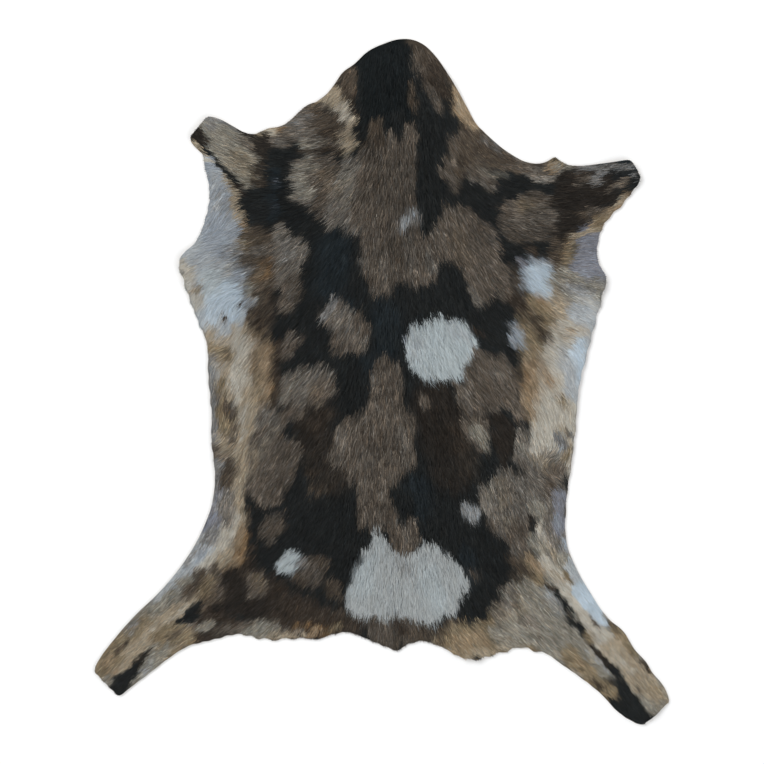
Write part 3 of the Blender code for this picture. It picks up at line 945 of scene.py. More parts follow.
# Right of the spine: taupe shoulder patch, the round white patch and the brown haunch.
RIGHT_BACK = Region(
    area=Area.BACK, x=105, y=40, hair_length=22, sleek=0.1,
    lies=combed(
        (90, 195, -66), (115, 165, -56), (125, 115, -56), (80, 120, -72), (60, 60, -74),
        (75, 30, -66), (105, 45, -62), (140, 70, -52), (125, 10, -58), (150, -15, -56),
        (115, -50, -60), (70, -50, -74), (130, -80, -62), (155, -50, -58), (60, -120, -80),
        (100, -110, -70),
    ),
    markings=strokes(
        (TAUPE, 84, 201, 80, 166, 11, 20, 1, 7.2), (TAUPE, 104, 192, 118, 150, 22, 26, 1, 7.2),
        (TAUPE, 132, 186, 142, 162, 12, 10, 1, 7.2), (TAUPE, 128, 136, 128, 110, 24, 14, 1, 7.2),
        (TAUPE, 148, 140, 155, 108, 9, 9, 1, 7.2), (TAN, 98, 182, 104, 152, 12, 12, 0.16, 19.2),
        (BARK, 96, 176, 92, 152, 12, 9, 0.4, 14.4), (STONE, 112, 112, 122, 98, 6, 6, 0.7, 6),
        (STONE, 66, 190, 68, 172, 5, 5, 0.4, 6), (SMOKE, 140, 182, 144, 168, 4, 4, 0.3, 6),
        (WARM_BLACK, 66, -28, 86, -66, 26, 26, 1, 16.8),
        (UMBER, 92, -58, 104, -90, 10, 12, 0.45, 16.8),
        (BARK, 108, -78, 112, -110, 10, 12, 0.25, 16.8), (WHITE, 68, 36, 87, 34, 38, 36, 1, 6),
        (WHITE, 56, 44, 66, 48, 26, 20, 1, 6), (WHITE, 90, 50, 98, 60, 14, 13, 1, 6),
        (SMOKE, 110, 40, 119, 24, 7, 7, 0.8, 12), (WHITE, 76, 12, 88, 9, 13, 12, 1, 6),
        (SILVER, 92, 60, 105, 52, 10, 10, 0.5, 10.8), (SILVER, 42, 54, 40, 34, 8, 8, 0.5, 10.8),
        (TAUPE, 122, 24, 148, 14, 12, 14, 1, 8.4), (TAUPE, 120, 4, 150, -14, 18, 20, 1, 8.4),
        (TAUPE, 112, -16, 118, -50, 16, 18, 1, 8.4), (TAUPE, 118, -60, 126, -82, 14, 8, 1, 7.2),
        (TAUPE, 165, 4, 168, -24, 8, 12, 1, 8.4), (ASH, 118, -58, 128, -80, 8, 6, 0.8, 7.2),
        (STONE, 136, 14, 152, 2, 7, 7, 0.4, 9.6), (BARK, 128, -4, 132, -20, 9, 9, 0.35, 12),
        (STONE, 104, -20, 108, -34, 6, 6, 0.4, 7), (WARM_BLACK, 145, -47, 157, -58, 8, 9, 1, 8),
        (WARM_BLACK, 148, -66, 152, -88, 11, 9, 1, 7.2),
        (WARM_BLACK, 131, -44, 137, -50, 3, 4, 0.7, 6), (UMBER, 116, 62, 128, 58, 5, 5, 0.6, 6),
        (TAUPE, 136, -25, 140, -33, 8, 7, 1, 8), (TAUPE, 168, -32, 173, -43, 8, 7, 1, 8),
        (MIST, 163, 54, 169, 47, 5, 6, 0.6, 8), (WHITE, 103, 42, 106, 29, 10, 8, 1, 6),
        (TAUPE, 49, -24, 54, -32, 6, 7, 0.9, 7),
    ),
)

# The right flank. Blue-white flashes, brown mottle, tan, then cream with whorls at the edge.
RIGHT_FLANK = Region(
    area=Area.RIGHT_SIDE, x=215, y=20, hair_length=18, sleek=0.7,
    lies=combed(
        (190, 140, -40), (172, 118, -50), (215, 118, -34), (245, 108, -20), (268, 90, -32),
        (205, 88, -40), (240, 80, -26), (170, 62, -50), (195, 55, -46), (232, 60, -8),
        (252, 52, -60), (215, 35, -44), (190, 15, -52), (240, 15, -78), (212, 5, -50),
        (190, -30, -58), (225, -12, -52), (228, -40, -80), (205, -60, -72), (185, -85, -66),
        (232, -62, -60), (236, -85, -95), (215, -92, 200), (205, -118, -28),
    ),
    markings=strokes(
        (ASH, 226, 126, 262, 112, 16, 14, 1, 14), (SILVER, 248, 98, 264, 66, 20, 20, 1, 14),
        (ASH, 230, 104, 244, 90, 11, 11, 0.8, 14), (BUFF, 208, 104, 234, 60, 16, 22, 1, 14),
        (CREAM, 222, 50, 214, -96, 30, 28, 1, 14), (SILVER, 252, 40, 242, -20, 16, 10, 1, 12),
        (OLIVE, 188, 92, 188, 40, 14, 14, 1, 12), (BARK, 164, 142, 172, 116, 4, 7, 0.7, 10),
        (BARK, 178, 102, 192, 78, 7, 13, 0.9, 12), (OLIVE, 192, 96, 206, 88, 9, 13, 0.9, 12),
        (ICE, 187, 138, 187, 120, 10, 10, 1, 10), (MIST, 178, 138, 181, 116, 5, 5, 0.5, 12),
        (MIST, 190, 154, 198, 150, 6, 6, 0.8, 10), (ICE, 199, 138, 201, 114, 10, 11, 0.9, 12),
        (UMBER, 166, 104, 176, 92, 8, 8, 0.9, 10), (MIST, 169, 68, 175, 48, 6, 8, 0.85, 11),
        (ICE, 173, 60, 176, 50, 4, 4, 0.5, 8), (OLIVE, 196, 78, 196, 52, 15, 14, 1, 12),
        (BARK, 188, 76, 204, 60, 9, 9, 0.75, 12), (UMBER, 198, 72, 210, 52, 5, 6, 0.7, 7),
        (RUST, 196, 104, 210, 92, 4, 5, 0.45, 8), (TAN, 188, 36, 190, -26, 9, 13, 1, 14),
        (TAN, 204, 22, 210, 0, 9, 9, 0.7, 16), (OLIVE, 182, 44, 190, 30, 7, 8, 0.6, 12),
        (RUST, 182, 10, 184, -18, 5, 6, 0.4, 9), (RUST, 206, 14, 212, 0, 5, 5, 0.35, 8),
        (TAN, 186, -30, 192, -52, 11, 8, 0.9, 12), (BUFF, 217, 98, 229, 62, 8, 11, 1, 14),
        (CREAM, 236, 100, 260, 94, 9, 10, 0.5, 14), (SILVER, 244, 86, 266, 72, 14, 10, 1, 12),
        (SMOKE, 232, 120, 262, 114, 7, 7, 0.7, 12), (CREAM, 228, 66, 240, 62, 9, 8, 0.9, 10),
        (TAN, 238, 62, 246, 64, 4, 3, 0.5, 6), (CREAM, 222, 46, 216, 24, 10, 11, 1, 14),
        (SILVER, 228, 38, 224, 22, 7, 8, 0.8, 12), (CREAM, 217, 47, 222, 34, 6, 6, 0.5, 12),
        (ICE, 247, 44, 240, 4, 9, 9, 1, 12), (SILVER, 234, 16, 238, -20, 9, 6, 1, 12),
        (SMOKE, 246, 50, 240, 46, 4, 3, 0.6, 4), (BARK, 229, 38, 228, 28, 1.2, 1.4, 0.5, 3),
        (CREAM, 208, -24, 202, -58, 12, 14, 1, 13.5),
        (CREAM, 204, -62, 198, -92, 15, 13, 1, 13.5), (BUFF, 224, -62, 228, -94, 7, 8, 1, 12),
        (OLIVE, 226, -20, 230, -30, 4, 4.5, 0.85, 5), (CREAM, 236, -34, 234, -56, 7, 6, 0.9, 12),
        (SILVER, 224, -72, 218, -84, 6, 5, 0.9, 5), (SMOKE, 221, -73, 226, -80, 7, 6, 0.9, 8),
        (BARK, 230, -60, 237, -70, 4, 4, 0.6, 8), (OLIVE, 233, -84, 226, -100, 3, 4, 0.8, 5),
        (STONE, 174, -66, 173, -96, 8, 8, 1, 10), (STONE, 178, -82, 180, -104, 9, 7, 0.9, 12),
        (ASH, 176, -68, 176, -88, 5, 5, 0.5, 6), (SMOKE, 241, -56, 236, -106, 2, 3, 0.6, 4),
        (WARM_BLACK, 160, -72, 152, -100, 7, 8, 1, 8), (BARK, 217, 152, 219, 138, 5, 6, 0.8, 9),
        (OLIVE, 222, -27, 230, -34, 4, 6, 0.45, 9), (OLIVE, 206, 80, 212, 70, 5, 6, 0.7, 10),
        (TAUPE, 263, 218, 269, 214, 5, 5, 0.8, 8), (UMBER, 245, 262, 252, 259, 5, 5, 0.7, 8),
        (BARK, 236, 187, 242, 183, 5, 5, 0.9, 8), (DUSK, 170, 126, 174, 117, 5, 5, 0.6, 8),
        (UMBER, 184, 163, 192, 160, 5, 5, 0.9, 7),
    ),
)

# The rump: the large white patch, the brown tail and the ragged tan rear edge.
RUMP = Region(
    area=Area.RUMP, x=20, y=-230, hair_length=21, sleek=0.1,
    lies=combed(
        (0, -160, -92), (30, -190, -88), (-20, -240, -97), (-35, -270, -102), (20, -260, -90),
        (60, -250, -82), (90, -245, -72), (75, -285, -76), (5, -310, -96), (30, -315, -82),
        (-60, -262, -118), (-60, -300, -112), (85, -315, -62), (110, -325, -46), (145, -320, -36),
        (60, -170, -82), (120, -210, -72),
    ),
    markings=strokes(
        (UMBER, -132, -302, -40, -302, 20, 18, 0.9, 14), (DUSK, 0, -306, 60, -322, 18, 14, 1, 10),
        (OLIVE, 84, -324, 188, -318, 18, 20, 1, 10),
        # Black with a painted bluish sheen.
        (BLACK_PAINTED_SHEEN, 45, -135, 48, -165, 16, 14, 0.8, 19.2),
        (BLACK_PAINTED_SHEEN, 105, -220, 112, -250, 12, 10, 0.8, 14.4),
        (FROST, -4, -194, -3, -216, 5, 16, 1, 6), (FROST, -6, -243, -17, -270, 23, 27, 1, 6),
        (FROST, 20, -246, 62, -246, 30, 36, 1, 6), (FROST, 62, -222, 80, -252, 17, 22, 1, 6),
        (FROST, 20, -272, 60, -284, 25, 21, 1, 6), (FROST, 90, -250, 107, -257, 11, 3, 1, 6),
        (FROST, 83, -262, 79, -285, 12, 11, 1, 6), (FROST, -22, -284, 22, -284, 14, 17, 1, 6),
        (WHITE, -8, -205, -24, -255, 5, 16, 0.6, 12),
        (WHITE, 58, -240, 72, -282, 14, 12, 0.6, 14), (SMOKE, 22, -228, 34, -242, 7, 9, 0.4, 12),
        (TAUPE, 17, -182, 27, -203, 9, 16, 1, 6), (TAUPE, 20, -204, 22, -213, 9, 5, 1, 6),
        (TAUPE, 36, -178, 42, -205, 6, 6, 1, 5), (BARK, 14, -190, 18, -208, 6, 6, 0.45, 6),
        (STONE, 30, -182, 34, -200, 6, 6, 0.4, 7), (STONE, -4, -178, -4, -186, 5, 4, 0.7, 5),
        (PITCH, -20, -188, -24, -206, 6, 5, 1, 5), (DUSK, -12, -304, 8, -318, 9, 12, 1, 8),
        (DUSK, 14, -320, 18, -334, 10, 6, 1, 6), (UMBER, 18, -303, 24, -314, 6, 8, 0.8, 8.4),
        (TAUPE, -2, -308, 4, -320, 6, 7, 0.6, 8.4), (BARK, 38, -315, 56, -318, 6, 5, 0.8, 8),
        (BARK, 74, -314, 94, -305, 6, 8, 0.8, 10), (OLIVE, 78, -328, 104, -324, 9, 20, 1, 8.4),
        (BUFF, 104, -340, 150, -333, 9, 8, 1, 8), (OLIVE, 104, -322, 136, -316, 20, 18, 1, 8.4),
        (TAN, 100, -328, 122, -322, 12, 10, 0.6, 12),
        (ASH, 150, -318, 176, -322, 16, 12, 0.9, 9.6), (BARK, 66, -322, 76, -326, 5, 5, 0.6, 6),
        (SMOKE, 68, -326, 84, -334, 2, 2, 0.4, 3),
        (SILVER, 106, -161, 116, -166, 6, 7, 0.75, 7.2),
        (SMOKE, 107, -161, 114, -167, 8, 8, 0.4, 8.4),
        (TAUPE, 112, -242, 118, -248, 5, 4, 0.5, 9), (PITCH, 35, -150, 34, -162, 6, 4, 1, 8),
        (TAUPE, 6, -148, 13, -176, 6, 8, 1, 8), (FROST, -12, -206, -17, -214, 5, 6, 1, 6),
    ),
)

# The left haunch and groin: spots on black, cream and rust stripe, lilac edge.
LEFT_HAUNCH = Region(
    area=Area.LEFT_SIDE, x=-150, y=-215, hair_length=17, sleek=0.4,
    lies=combed(
        (-145, -125, -124), (-180, -150, -106), (-205, -140, -108), (-215, -175, -122),
        (-190, -190, -116), (-180, -222, -128), (-140, -185, -128), (-115, -222, -138),
        (-90, -240, -130), (-152, -255, -132), (-185, -270, -142), (-100, -290, -118),
        (-150, -305, -138), (-190, -300, -148), (-80, -200, -118),
    ),
    markings=strokes(
        (BARK, -196, -119, -200, -150, 18, 20, 1, 12),
        (BUFF, -190, -160, -208, -212, 16, 22, 1, 12),
        (UMBER, -178, -250, -104, -300, 26, 24, 0.9, 16),
        (BARK, -200, -236, -216, -284, 18, 18, 1, 12), (ASH, -178, -312, -148, -315, 8, 9),
        (SMOKE, -208, -104, -212, -148, 7, 7), (BARK, -204, -116, -196, -146, 4, 5, 0.6, 7),
        (BUFF, -178, -116, -180, -142, 6, 7), (BUFF, -181, -148, -183, -176, 6, 10),
        (CREAM, -188, -168, -196, -200, 9, 14, 1, 9.6), (CREAM, -206, -198, -220, -222, 10, 8),
        (LILAC, -201, -146, -207, -172, 8, 9), (SMOKE, -194, -142, -212, -192, 8, 9, 0.9, 10),
        (LILAC, -212, -178, -228, -202, 9, 9), (TAN, -176, -186, -182, -222, 5, 9),
        (RUST, -172, -194, -180, -224, 4, 6, 0.6, 10),
        (BUFF, -192, -214, -200, -228, 8, 7, 0.9, 8.4),
        (TAN, -196, -232, -186, -234, 5, 6, 0.7, 6),
        (UMBER, -164, -206, -168, -230, 4, 6, 0.8, 7),
        (WARM_BLACK, -192, -252, -180, -274, 16, 20, 1, 9.6),
        (WARM_BLACK, -166, -286, -140, -282, 14, 12, 0.8, 10.8),
        (DUSK, -146, -188, -132, -181, 10, 12, 1, 10),
        (BARK, -140, -190, -128, -186, 8, 8, 0.4, 9.6),
        (DUSK, -142, -198, -138, -202, 6, 3, 0.8, 6),
        (DUSK, -96, -234, -86, -244, 13, 14, 0.95, 10),
        (STONE, -98, -236, -84, -240, 6, 6, 0.35, 7), (BARK, -108, -248, -96, -252, 6, 5, 0.8, 6),
        (BARK, -62, -256, -58, -266, 10, 9, 0.9, 8.4), (BARK, -80, -225, -72, -232, 5, 6, 0.7, 6),
        (WHITE, -126, -229, -114, -223, 10, 10, 1, 8),
        (WHITE, -121, -234, -113, -232, 7, 7, 1, 8), (TAUPE, -158, -248, -152, -262, 12, 9, 1, 9),
        (OLIVE, -158, -246, -150, -258, 6, 6, 0.5, 8),
        (UMBER, -106, -286, -92, -292, 16, 16, 0.85, 16.8),
        (UMBER, -134, -262, -128, -274, 8, 10, 0.7, 12), (ASH, -168, -308, -148, -309, 8, 8),
        (STONE, -136, -312, -104, -314, 6, 5, 0.9, 8),
        (ASH, -150, -304, -138, -310, 8, 9, 0.6, 8.4),
        (TAUPE, -182, -308, -170, -304, 5, 5, 0.7, 6),
        (BUFF, -126, -317, -96, -317, 4, 4, 0.9, 4), (RUST, -84, -314, -66, -312, 6, 5, 0.7, 9),
        (OLIVE, -64, -310, -50, -309, 4, 3, 0.7, 6), (RUST, -108, -306, -92, -304, 5, 5, 0.4, 7),
        (STONE, -190, -140, -198, -176, 8, 9, 0.9, 9), (TAN, -88, -316, -77, -315, 4, 4, 0.9, 6),
        (BARK, -171, -166, -172, -177, 5, 5, 0.8, 8),
        (SMOKE, -104, -228, -98, -230, 5, 4, 0.9, 7),
    ),
)

# The left hind shank: grey outer edge, tan stripe, black wedge and olive hoof end.
LEFT_SHANK = Region(
    area=Area.LEFT_SIDE, x=-275, y=-305, hair_length=13, sleek=0.8,
    lies=combed(
        (-228, -215, -124), (-250, -240, -130), (-225, -260, -132), (-275, -280, -135),
        (-225, -300, -144), (-250, -320, -142), (-300, -320, -135), (-280, -350, -146),
        (-335, -350, -134), (-320, -378, -138),
    ),
    markings=strokes(
        (SILVER, -228, -210, -278, -274, 17, 16), (TAUPE, -225, -256, -262, -318, 26, 26, 1, 12),
        (ASH, -270, -298, -340, -366, 30, 26, 1, 12),
        (SILVER, -232, -216, -252, -240, 10, 11, 1, 7.2),
        (SILVER, -258, -250, -276, -274, 11, 10, 1, 7.2),
        (MIST, -222, -215, -232, -222, 6, 6, 0.6, 6),
        (CREAM, -214, -222, -224, -233, 7, 6, 0.8, 7),
        (SMOKE, -238, -212, -248, -230, 5, 5, 0.6, 5),
        (BARK, -222, -250, -224, -272, 11, 16, 1, 8.4),
        (OLIVE, -216, -248, -222, -262, 8, 10, 0.7, 10.8),
        (BARK, -242, -252, -252, -268, 8, 6, 1, 7), (ASH, -262, -268, -296, -298, 10, 14, 1, 8.4),
        (BUFF, -236, -276, -262, -292, 6, 9, 1, 7),
        (BUFF, -264, -292, -300, -326, 12, 12, 1, 7.2),
        (BUFF, -302, -326, -334, -364, 11, 9, 1, 7),
        (CREAM, -242, -278, -296, -318, 2.5, 4, 0.4, 6),
        (OLIVE, -296, -300, -330, -326, 10, 12, 0.9, 9.6),
        (SMOKE, -310, -302, -318, -312, 6, 6, 0.6, 6),
        (OLIVE, -336, -338, -346, -358, 14, 12, 1, 7.2),
        (TAN, -340, -352, -334, -370, 8, 7, 0.6, 8.4),
        (BARK, -318, -322, -330, -336, 3, 4, 0.7, 5), (PITCH, -230, -282, -240, -292, 8, 8, 1, 7),
        (PITCH, -242, -292, -260, -300, 6, 3, 1, 4),
        (WARM_BLACK, -212, -286, -196, -288, 5, 10, 1, 7.2),
        (OLIVE, -270, -312, -240, -318, 12, 12, 1, 7.2),
        (OLIVE, -282, -318, -268, -330, 8, 12, 1, 7.2),
        (TAUPE, -262, -318, -248, -312, 6, 5, 0.6, 6),
        (UMBER, -222, -292, -190, -302, 7, 9, 1, 8),
        (ASH, -214, -304, -228, -309, 6, 7, 0.95, 7.2),
        (UMBER, -204, -312, -232, -320, 6, 5, 0.9, 6),
        (ASH, -268, -342, -300, -368, 10, 10, 1, 7.2),
        (OLIVE, -258, -334, -270, -344, 6, 6, 0.9, 8), (ASH, -300, -370, -313, -379, 9, 6, 1, 7),
        (SILVER, -284, -348, -300, -364, 5, 6, 0.4, 7),
        (WARM_BLACK, -293, -337, -312, -356, 3, 6, 1, 6),
        (PITCH, -312, -358, -333, -386, 7, 9, 1, 6),
        (SMOKE, -212, -190, -225, -206, 7, 7, 0.9, 9),
        (SMOKE, -211, -186, -222, -202, 6, 6, 1, 8), (DUSK, -206, -312, -184, -314, 6, 5, 0.9, 8),
        (ASH, -268, -334, -282, -354, 7, 7, 0.9, 9),
        (OLIVE, -262, -338, -266, -346, 4, 4, 0.7, 8),
        (ASH, -245, -247, -251, -253, 6, 6, 0.9, 8), (BUFF, -143, -316, -133, -317, 4, 4, 0.9, 6),
        (TAUPE, -158, -262, -165, -268, 6, 6, 0.9, 8),
    ),
)

# The right haunch: taupe and ash, black stripe towards the leg, lilac groin edge.
RIGHT_HAUNCH = Region(
    area=Area.RIGHT_SIDE, x=185, y=-210, hair_length=17, sleek=0.4,
    lies=combed(
        (150, -125, -72), (190, -150, -64), (125, -150, -78), (155, -185, -72), (205, -185, -66),
        (222, -165, -88), (175, -215, -58), (235, -215, -70), (155, -270, -54), (190, -265, -46),
        (180, -305, -44), (210, -300, -42), (220, -240, -50),
    ),
    markings=strokes(
        (STONE, 205, -112, 218, -206, 20, 22, 1, 12), (ASH, 182, -276, 244, -348, 28, 26, 1, 10),
        (TAUPE, 160, -290, 176, -306, 18, 20, 1, 12), (BARK, 168, -224, 198, -236, 11, 11, 1, 10),
        (STONE, 200, -102, 192, -132, 16, 16, 1, 12),
        (TAUPE, 214, -112, 212, -136, 11, 10, 1, 12),
        (BUFF, 195, -100, 210, -108, 8, 7, 0.5, 9.6), (BARK, 216, -104, 216, -136, 3, 4, 0.45, 7),
        (STONE, 154, -122, 150, -142, 13, 22, 1, 8.4),
        (STONE, 166, -130, 182, -152, 14, 18, 1, 8.4),
        (STONE, 152, -160, 148, -184, 22, 14, 1, 8.4), (STONE, 132, -140, 134, -160, 10, 9),
        (TAUPE, 170, -186, 180, -214, 14, 11, 1, 8.4),
        (TAUPE, 158, -192, 166, -212, 8, 8, 1, 8.4), (ASH, 138, -128, 134, -150, 6, 6, 0.4, 8),
        (OLIVE, 152, -130, 156, -155, 8, 8, 0.3, 10.8),
        (BUFF, 152, -172, 160, -176, 6, 5, 0.3, 7), (ASH, 192, -158, 200, -180, 7, 7, 0.8, 8.4),
        (CREAM, 198, -184, 206, -204, 5, 5, 0.75, 6),
        (STONE, 210, -168, 218, -214, 8, 9, 0.9, 9.6),
        (BUFF, 206, -206, 220, -218, 7, 6, 0.5, 8.4), (LILAC, 222, -146, 222, -184, 8, 9),
        (MIST, 216, -172, 220, -178, 4, 4, 0.6, 5), (MIST, 230, -204, 244, -238, 7, 9),
        (SMOKE, 224, -212, 230, -228, 5, 5, 0.6, 6),
        (WARM_BLACK, 180, -171, 186, -178, 4, 4, 0.9, 6),
        (UMBER, 176, -168, 172, -182, 3, 4, 0.5, 6), (STONE, 172, -262, 160, -292, 9, 14, 1, 12),
        (ASH, 186, -262, 200, -300, 16, 24), (ASH, 168, -304, 188, -316, 18, 16),
        (ASH, 206, -318, 228, -336, 18, 14), (OLIVE, 176, -232, 196, -246, 7, 9),
        (BARK, 168, -246, 190, -240, 7, 6, 0.6, 8.4), (TAN, 186, -222, 206, -236, 6, 7, 0.9, 8),
        (SILVER, 202, -262, 222, -288, 6, 9, 0.4, 9.6),
        (OLIVE, 170, -276, 180, -300, 8, 9, 0.4, 12),
        (BUFF, 150, -290, 160, -296, 9, 8, 0.4, 10.8), (BARK, 186, -316, 202, -322, 5, 5, 0.4, 7),
        (TAUPE, 160, -252, 150, -262, 6, 5, 0.4, 7), (ASH, 188, -198, 199, -213, 6, 7, 0.9, 9),
        (BARK, 172, -230, 181, -238, 7, 6, 1, 8), (STONE, 168, -160, 173, -172, 8, 7, 1, 9),
        (STONE, 178, -298, 192, -300, 8, 8, 0.8, 10), (TAUPE, 134, -179, 137, -188, 5, 5, 0.9, 8),
        (STONE, 168, -211, 172, -219, 6, 6, 0.9, 8),
    ),
)

# The right hind shank. Cream and blue-white outside, black stripe that widens to the hoof end.
RIGHT_SHANK = Region(
    area=Area.RIGHT_SIDE, x=275, y=-320, hair_length=13, sleek=0.8,
    lies=combed(
        (225, -255, -50), (255, -268, -54), (250, -310, -47), (225, -330, -38), (280, -330, -50),
        (300, -320, -56), (260, -360, -40), (310, -370, -52), (290, -395, -50), (340, -390, -48),
        (315, -415, -55),
    ),
    markings=strokes(
        (ASH, 226, -236, 262, -300, 22, 26), (ASH, 262, -300, 340, -392, 30, 24),
        (OLIVE, 240, -344, 268, -368, 14, 12, 1, 7.2),
        (ASH, 255, -330, 280, -362, 12, 10, 1, 8.4), (OLIVE, 262, -372, 286, -388, 8, 11, 1, 7.2),
        (TAN, 250, -352, 258, -362, 6, 5, 0.4, 7), (UMBER, 268, -378, 276, -388, 4, 4, 0.6, 5),
        (SILVER, 262, -335, 282, -356, 3, 5, 0.4, 6), (CREAM, 206, -226, 236, -264, 7, 8, 1, 6),
        (CREAM, 238, -268, 262, -308, 9, 10, 1, 6), (CREAM, 264, -310, 292, -334, 10, 14, 1, 7.2),
        (BUFF, 208, -232, 226, -252, 4, 4, 0.5, 6), (BUFF, 292, -334, 332, -382, 14, 15, 1, 7.2),
        (BUFF, 334, -384, 346, -396, 14, 10, 1, 7.2), (CREAM, 288, -340, 312, -362, 6, 6, 0.5, 7),
        (OLIVE, 340, -384, 350, -396, 7, 6, 0.5, 8.4), (SILVER, 236, -232, 250, -256, 7, 9, 1, 6),
        (ICE, 250, -258, 268, -286, 10, 10, 1, 7.2), (ICE, 268, -288, 278, -298, 8, 6, 0.9, 7.2),
        (OLIVE, 228, -241, 234, -251, 3.5, 3, 0.95, 3),
        (TAUPE, 262, -296, 272, -308, 4, 3.5, 0.85, 4),
        (BARK, 290, -304, 306, -324, 7, 5, 0.9, 6), (OLIVE, 300, -316, 316, -338, 6, 4, 1, 5),
        (BARK, 322, -348, 336, -364, 3, 4, 0.9, 4), (TAUPE, 319, -380, 323, -384, 2, 2.5, 0.8, 3),
        (UMBER, 206, -256, 220, -266, 2.5, 4, 1, 3), (PITCH, 219, -266, 232, -286, 3.5, 5, 1, 3),
        (PITCH, 231, -286, 243, -306, 4, 6.5, 1, 6), (PITCH, 246, -310, 262, -322, 5, 2.5, 1, 3),
        (WARM_BLACK, 261, -327, 286, -354, 2.5, 4.5, 1, 3),
        (PITCH, 287, -356, 298, -374, 5, 8, 1, 6), (PITCH, 302, -380, 311, -405, 8, 15, 1, 6),
        (PITCH, 313, -408, 322, -418, 13, 10, 1, 6), (ASH, 240, -288, 243, -295, 5, 5, 0.9, 7),
        (OLIVE, 259, -317, 265, -324, 6, 6, 0.8, 8), (OLIVE, 288, -313, 294, -320, 5, 5, 0.8, 7),
    ),
)


REGIONS = (
    NECK, LEFT_SHOULDER, WITHERS, RIGHT_SHOULDER, BACK, LEFT_FLANK, RIGHT_BACK, RIGHT_FLANK,
    RUMP, LEFT_HAUNCH, LEFT_SHANK, RIGHT_HAUNCH, RIGHT_SHANK,
)


@dataclass(frozen=True)
class Outline:
    """The skin's cut edge in millimetres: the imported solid's rim with its locks evened out."""

    points: np.ndarray
    inward: np.ndarray

    @classmethod
    def read(
        cls, shape: bmesh.types.BMesh, blur: float = 4.5, facing_down: float = -0.5
    ) -> "Outline":
        """Walks round the underside of the solid and smooths what it finds.

        Args:
            shape: The solid, its doubles merged.
            blur: How far along the edge the smoothing reaches, in millimetres.
            facing_down: The height of the normal under which a face is the underside.

        Returns:
            The edge, a point at every millimetre.
        """
        edges = {
            e
            for e in shape.edges
            if sum(f.normal.z < facing_down for f in e.link_faces) == 1
        }
        edge = min(edges, key=lambda e: e.index)
        vert = edge.verts[0]
        loop = [vert.co.xy / MM]
        while edge:
            edges.remove(edge)
            vert = edge.other_vert(vert)
            loop.append(vert.co.xy / MM)
            edge = next((e for e in vert.link_edges if e in edges), None)
        corners = np.array(loop)
        gone = np.cumsum([0, *np.linalg.norm(np.diff(corners, axis=0), axis=1)])
        places = np.linspace(0, gone[-1], int(gone[-1]), endpoint=False)
        even = np.stack([np.interp(places, gone, values) for values in corners.T], -1)
        smooth = cls._blur(even, blur)
        points = 2 * smooth - cls._blur(smooth, blur)
        run = np.roll(points, -1, 0) - np.roll(points, 1, 0)
        left = np.stack([-run[:, 1], run[:, 0]], -1)
        left /= np.linalg.norm(left, axis=1)[:, None]
        winding = (points[:, 0] * run[:, 1] - points[:, 1] * run[:, 0]).sum()
        return cls(points, left * np.sign(winding))

    @staticmethod
    def _blur(points: np.ndarray, blur: float) -> np.ndarray:
        """Blurs a closed line of points, each a millimetre from the next.

        Args:
            points: One row of x and y for each point.
            blur: How far the blur reaches, in millimetres.

        Returns:
            The blurred points.
        """
        reach = int(3 * blur)
        weights = np.exp(-0.5 * (np.arange(-reach, reach + 1) / blur) ** 2)
        around = np.concatenate([points[-reach:], points, points[:reach]])
        sides = [np.convolve(s, weights / weights.sum(), "valid") for s in around.T]
        return np.stack(sides, -1)

    def measure(self, xs: np.ndarray, ys: np.ndarray) -> np.ndarray:
        """Measures how far inside the cut edge the points of a lattice are.

        Args:
            xs: The lattice's places across, in millimetres.
            ys: The lattice's places along, in millimetres.

        Returns:
            The distances in millimetres, below 0 outside.
        """
        tree = KDTree(len(self.points))
        for number, place in enumerate(self.points):
            tree.insert((*place, 0), number)
        tree.balance()
        away = np.zeros((ys.size, xs.size))
        for row, y in enumerate(ys):
            for col, x in enumerate(xs):
                _, number, far = tree.find((x, y, 0))
                side = (np.array((x, y)) - self.points[number]) @ self.inward[number]
                away[row, col] = side if far < 2 else math.copysign(far, side)
        return away

    def sheet(self, cell: float = 12.0, spacing: int = 3) -> bmesh.types.BMesh:
        """Fills the edge with one flat face and cuts it along a grid so that it can bend.

        Args:
            cell: The grid's pitch, in millimetres.
            spacing: Which points of the edge are corners of the sheet, 3 for every third.

        Returns:
            The sheet at height 0, in metres.
        """
        flat = bmesh.new()
        corners = self.points[::spacing]
        flat.faces.new([flat.verts.new((x * MM, y * MM, 0)) for x, y in corners])
        for axis, across in enumerate((Vector((1, 0, 0)), Vector((0, 1, 0)))):
            low, high = corners[:, axis].min(), corners[:, axis].max()
            for place in np.arange(low + cell / 2, high, cell):
                bmesh.ops.bisect_plane(
                    flat,
                    geom=flat.verts[:] + flat.edges[:] + flat.faces[:],
                    dist=0.8 * MM,
                    plane_co=across * place * MM,
                    plane_no=across,
                )
        bmesh.ops.triangulate(flat, faces=flat.faces[:])
        return flat


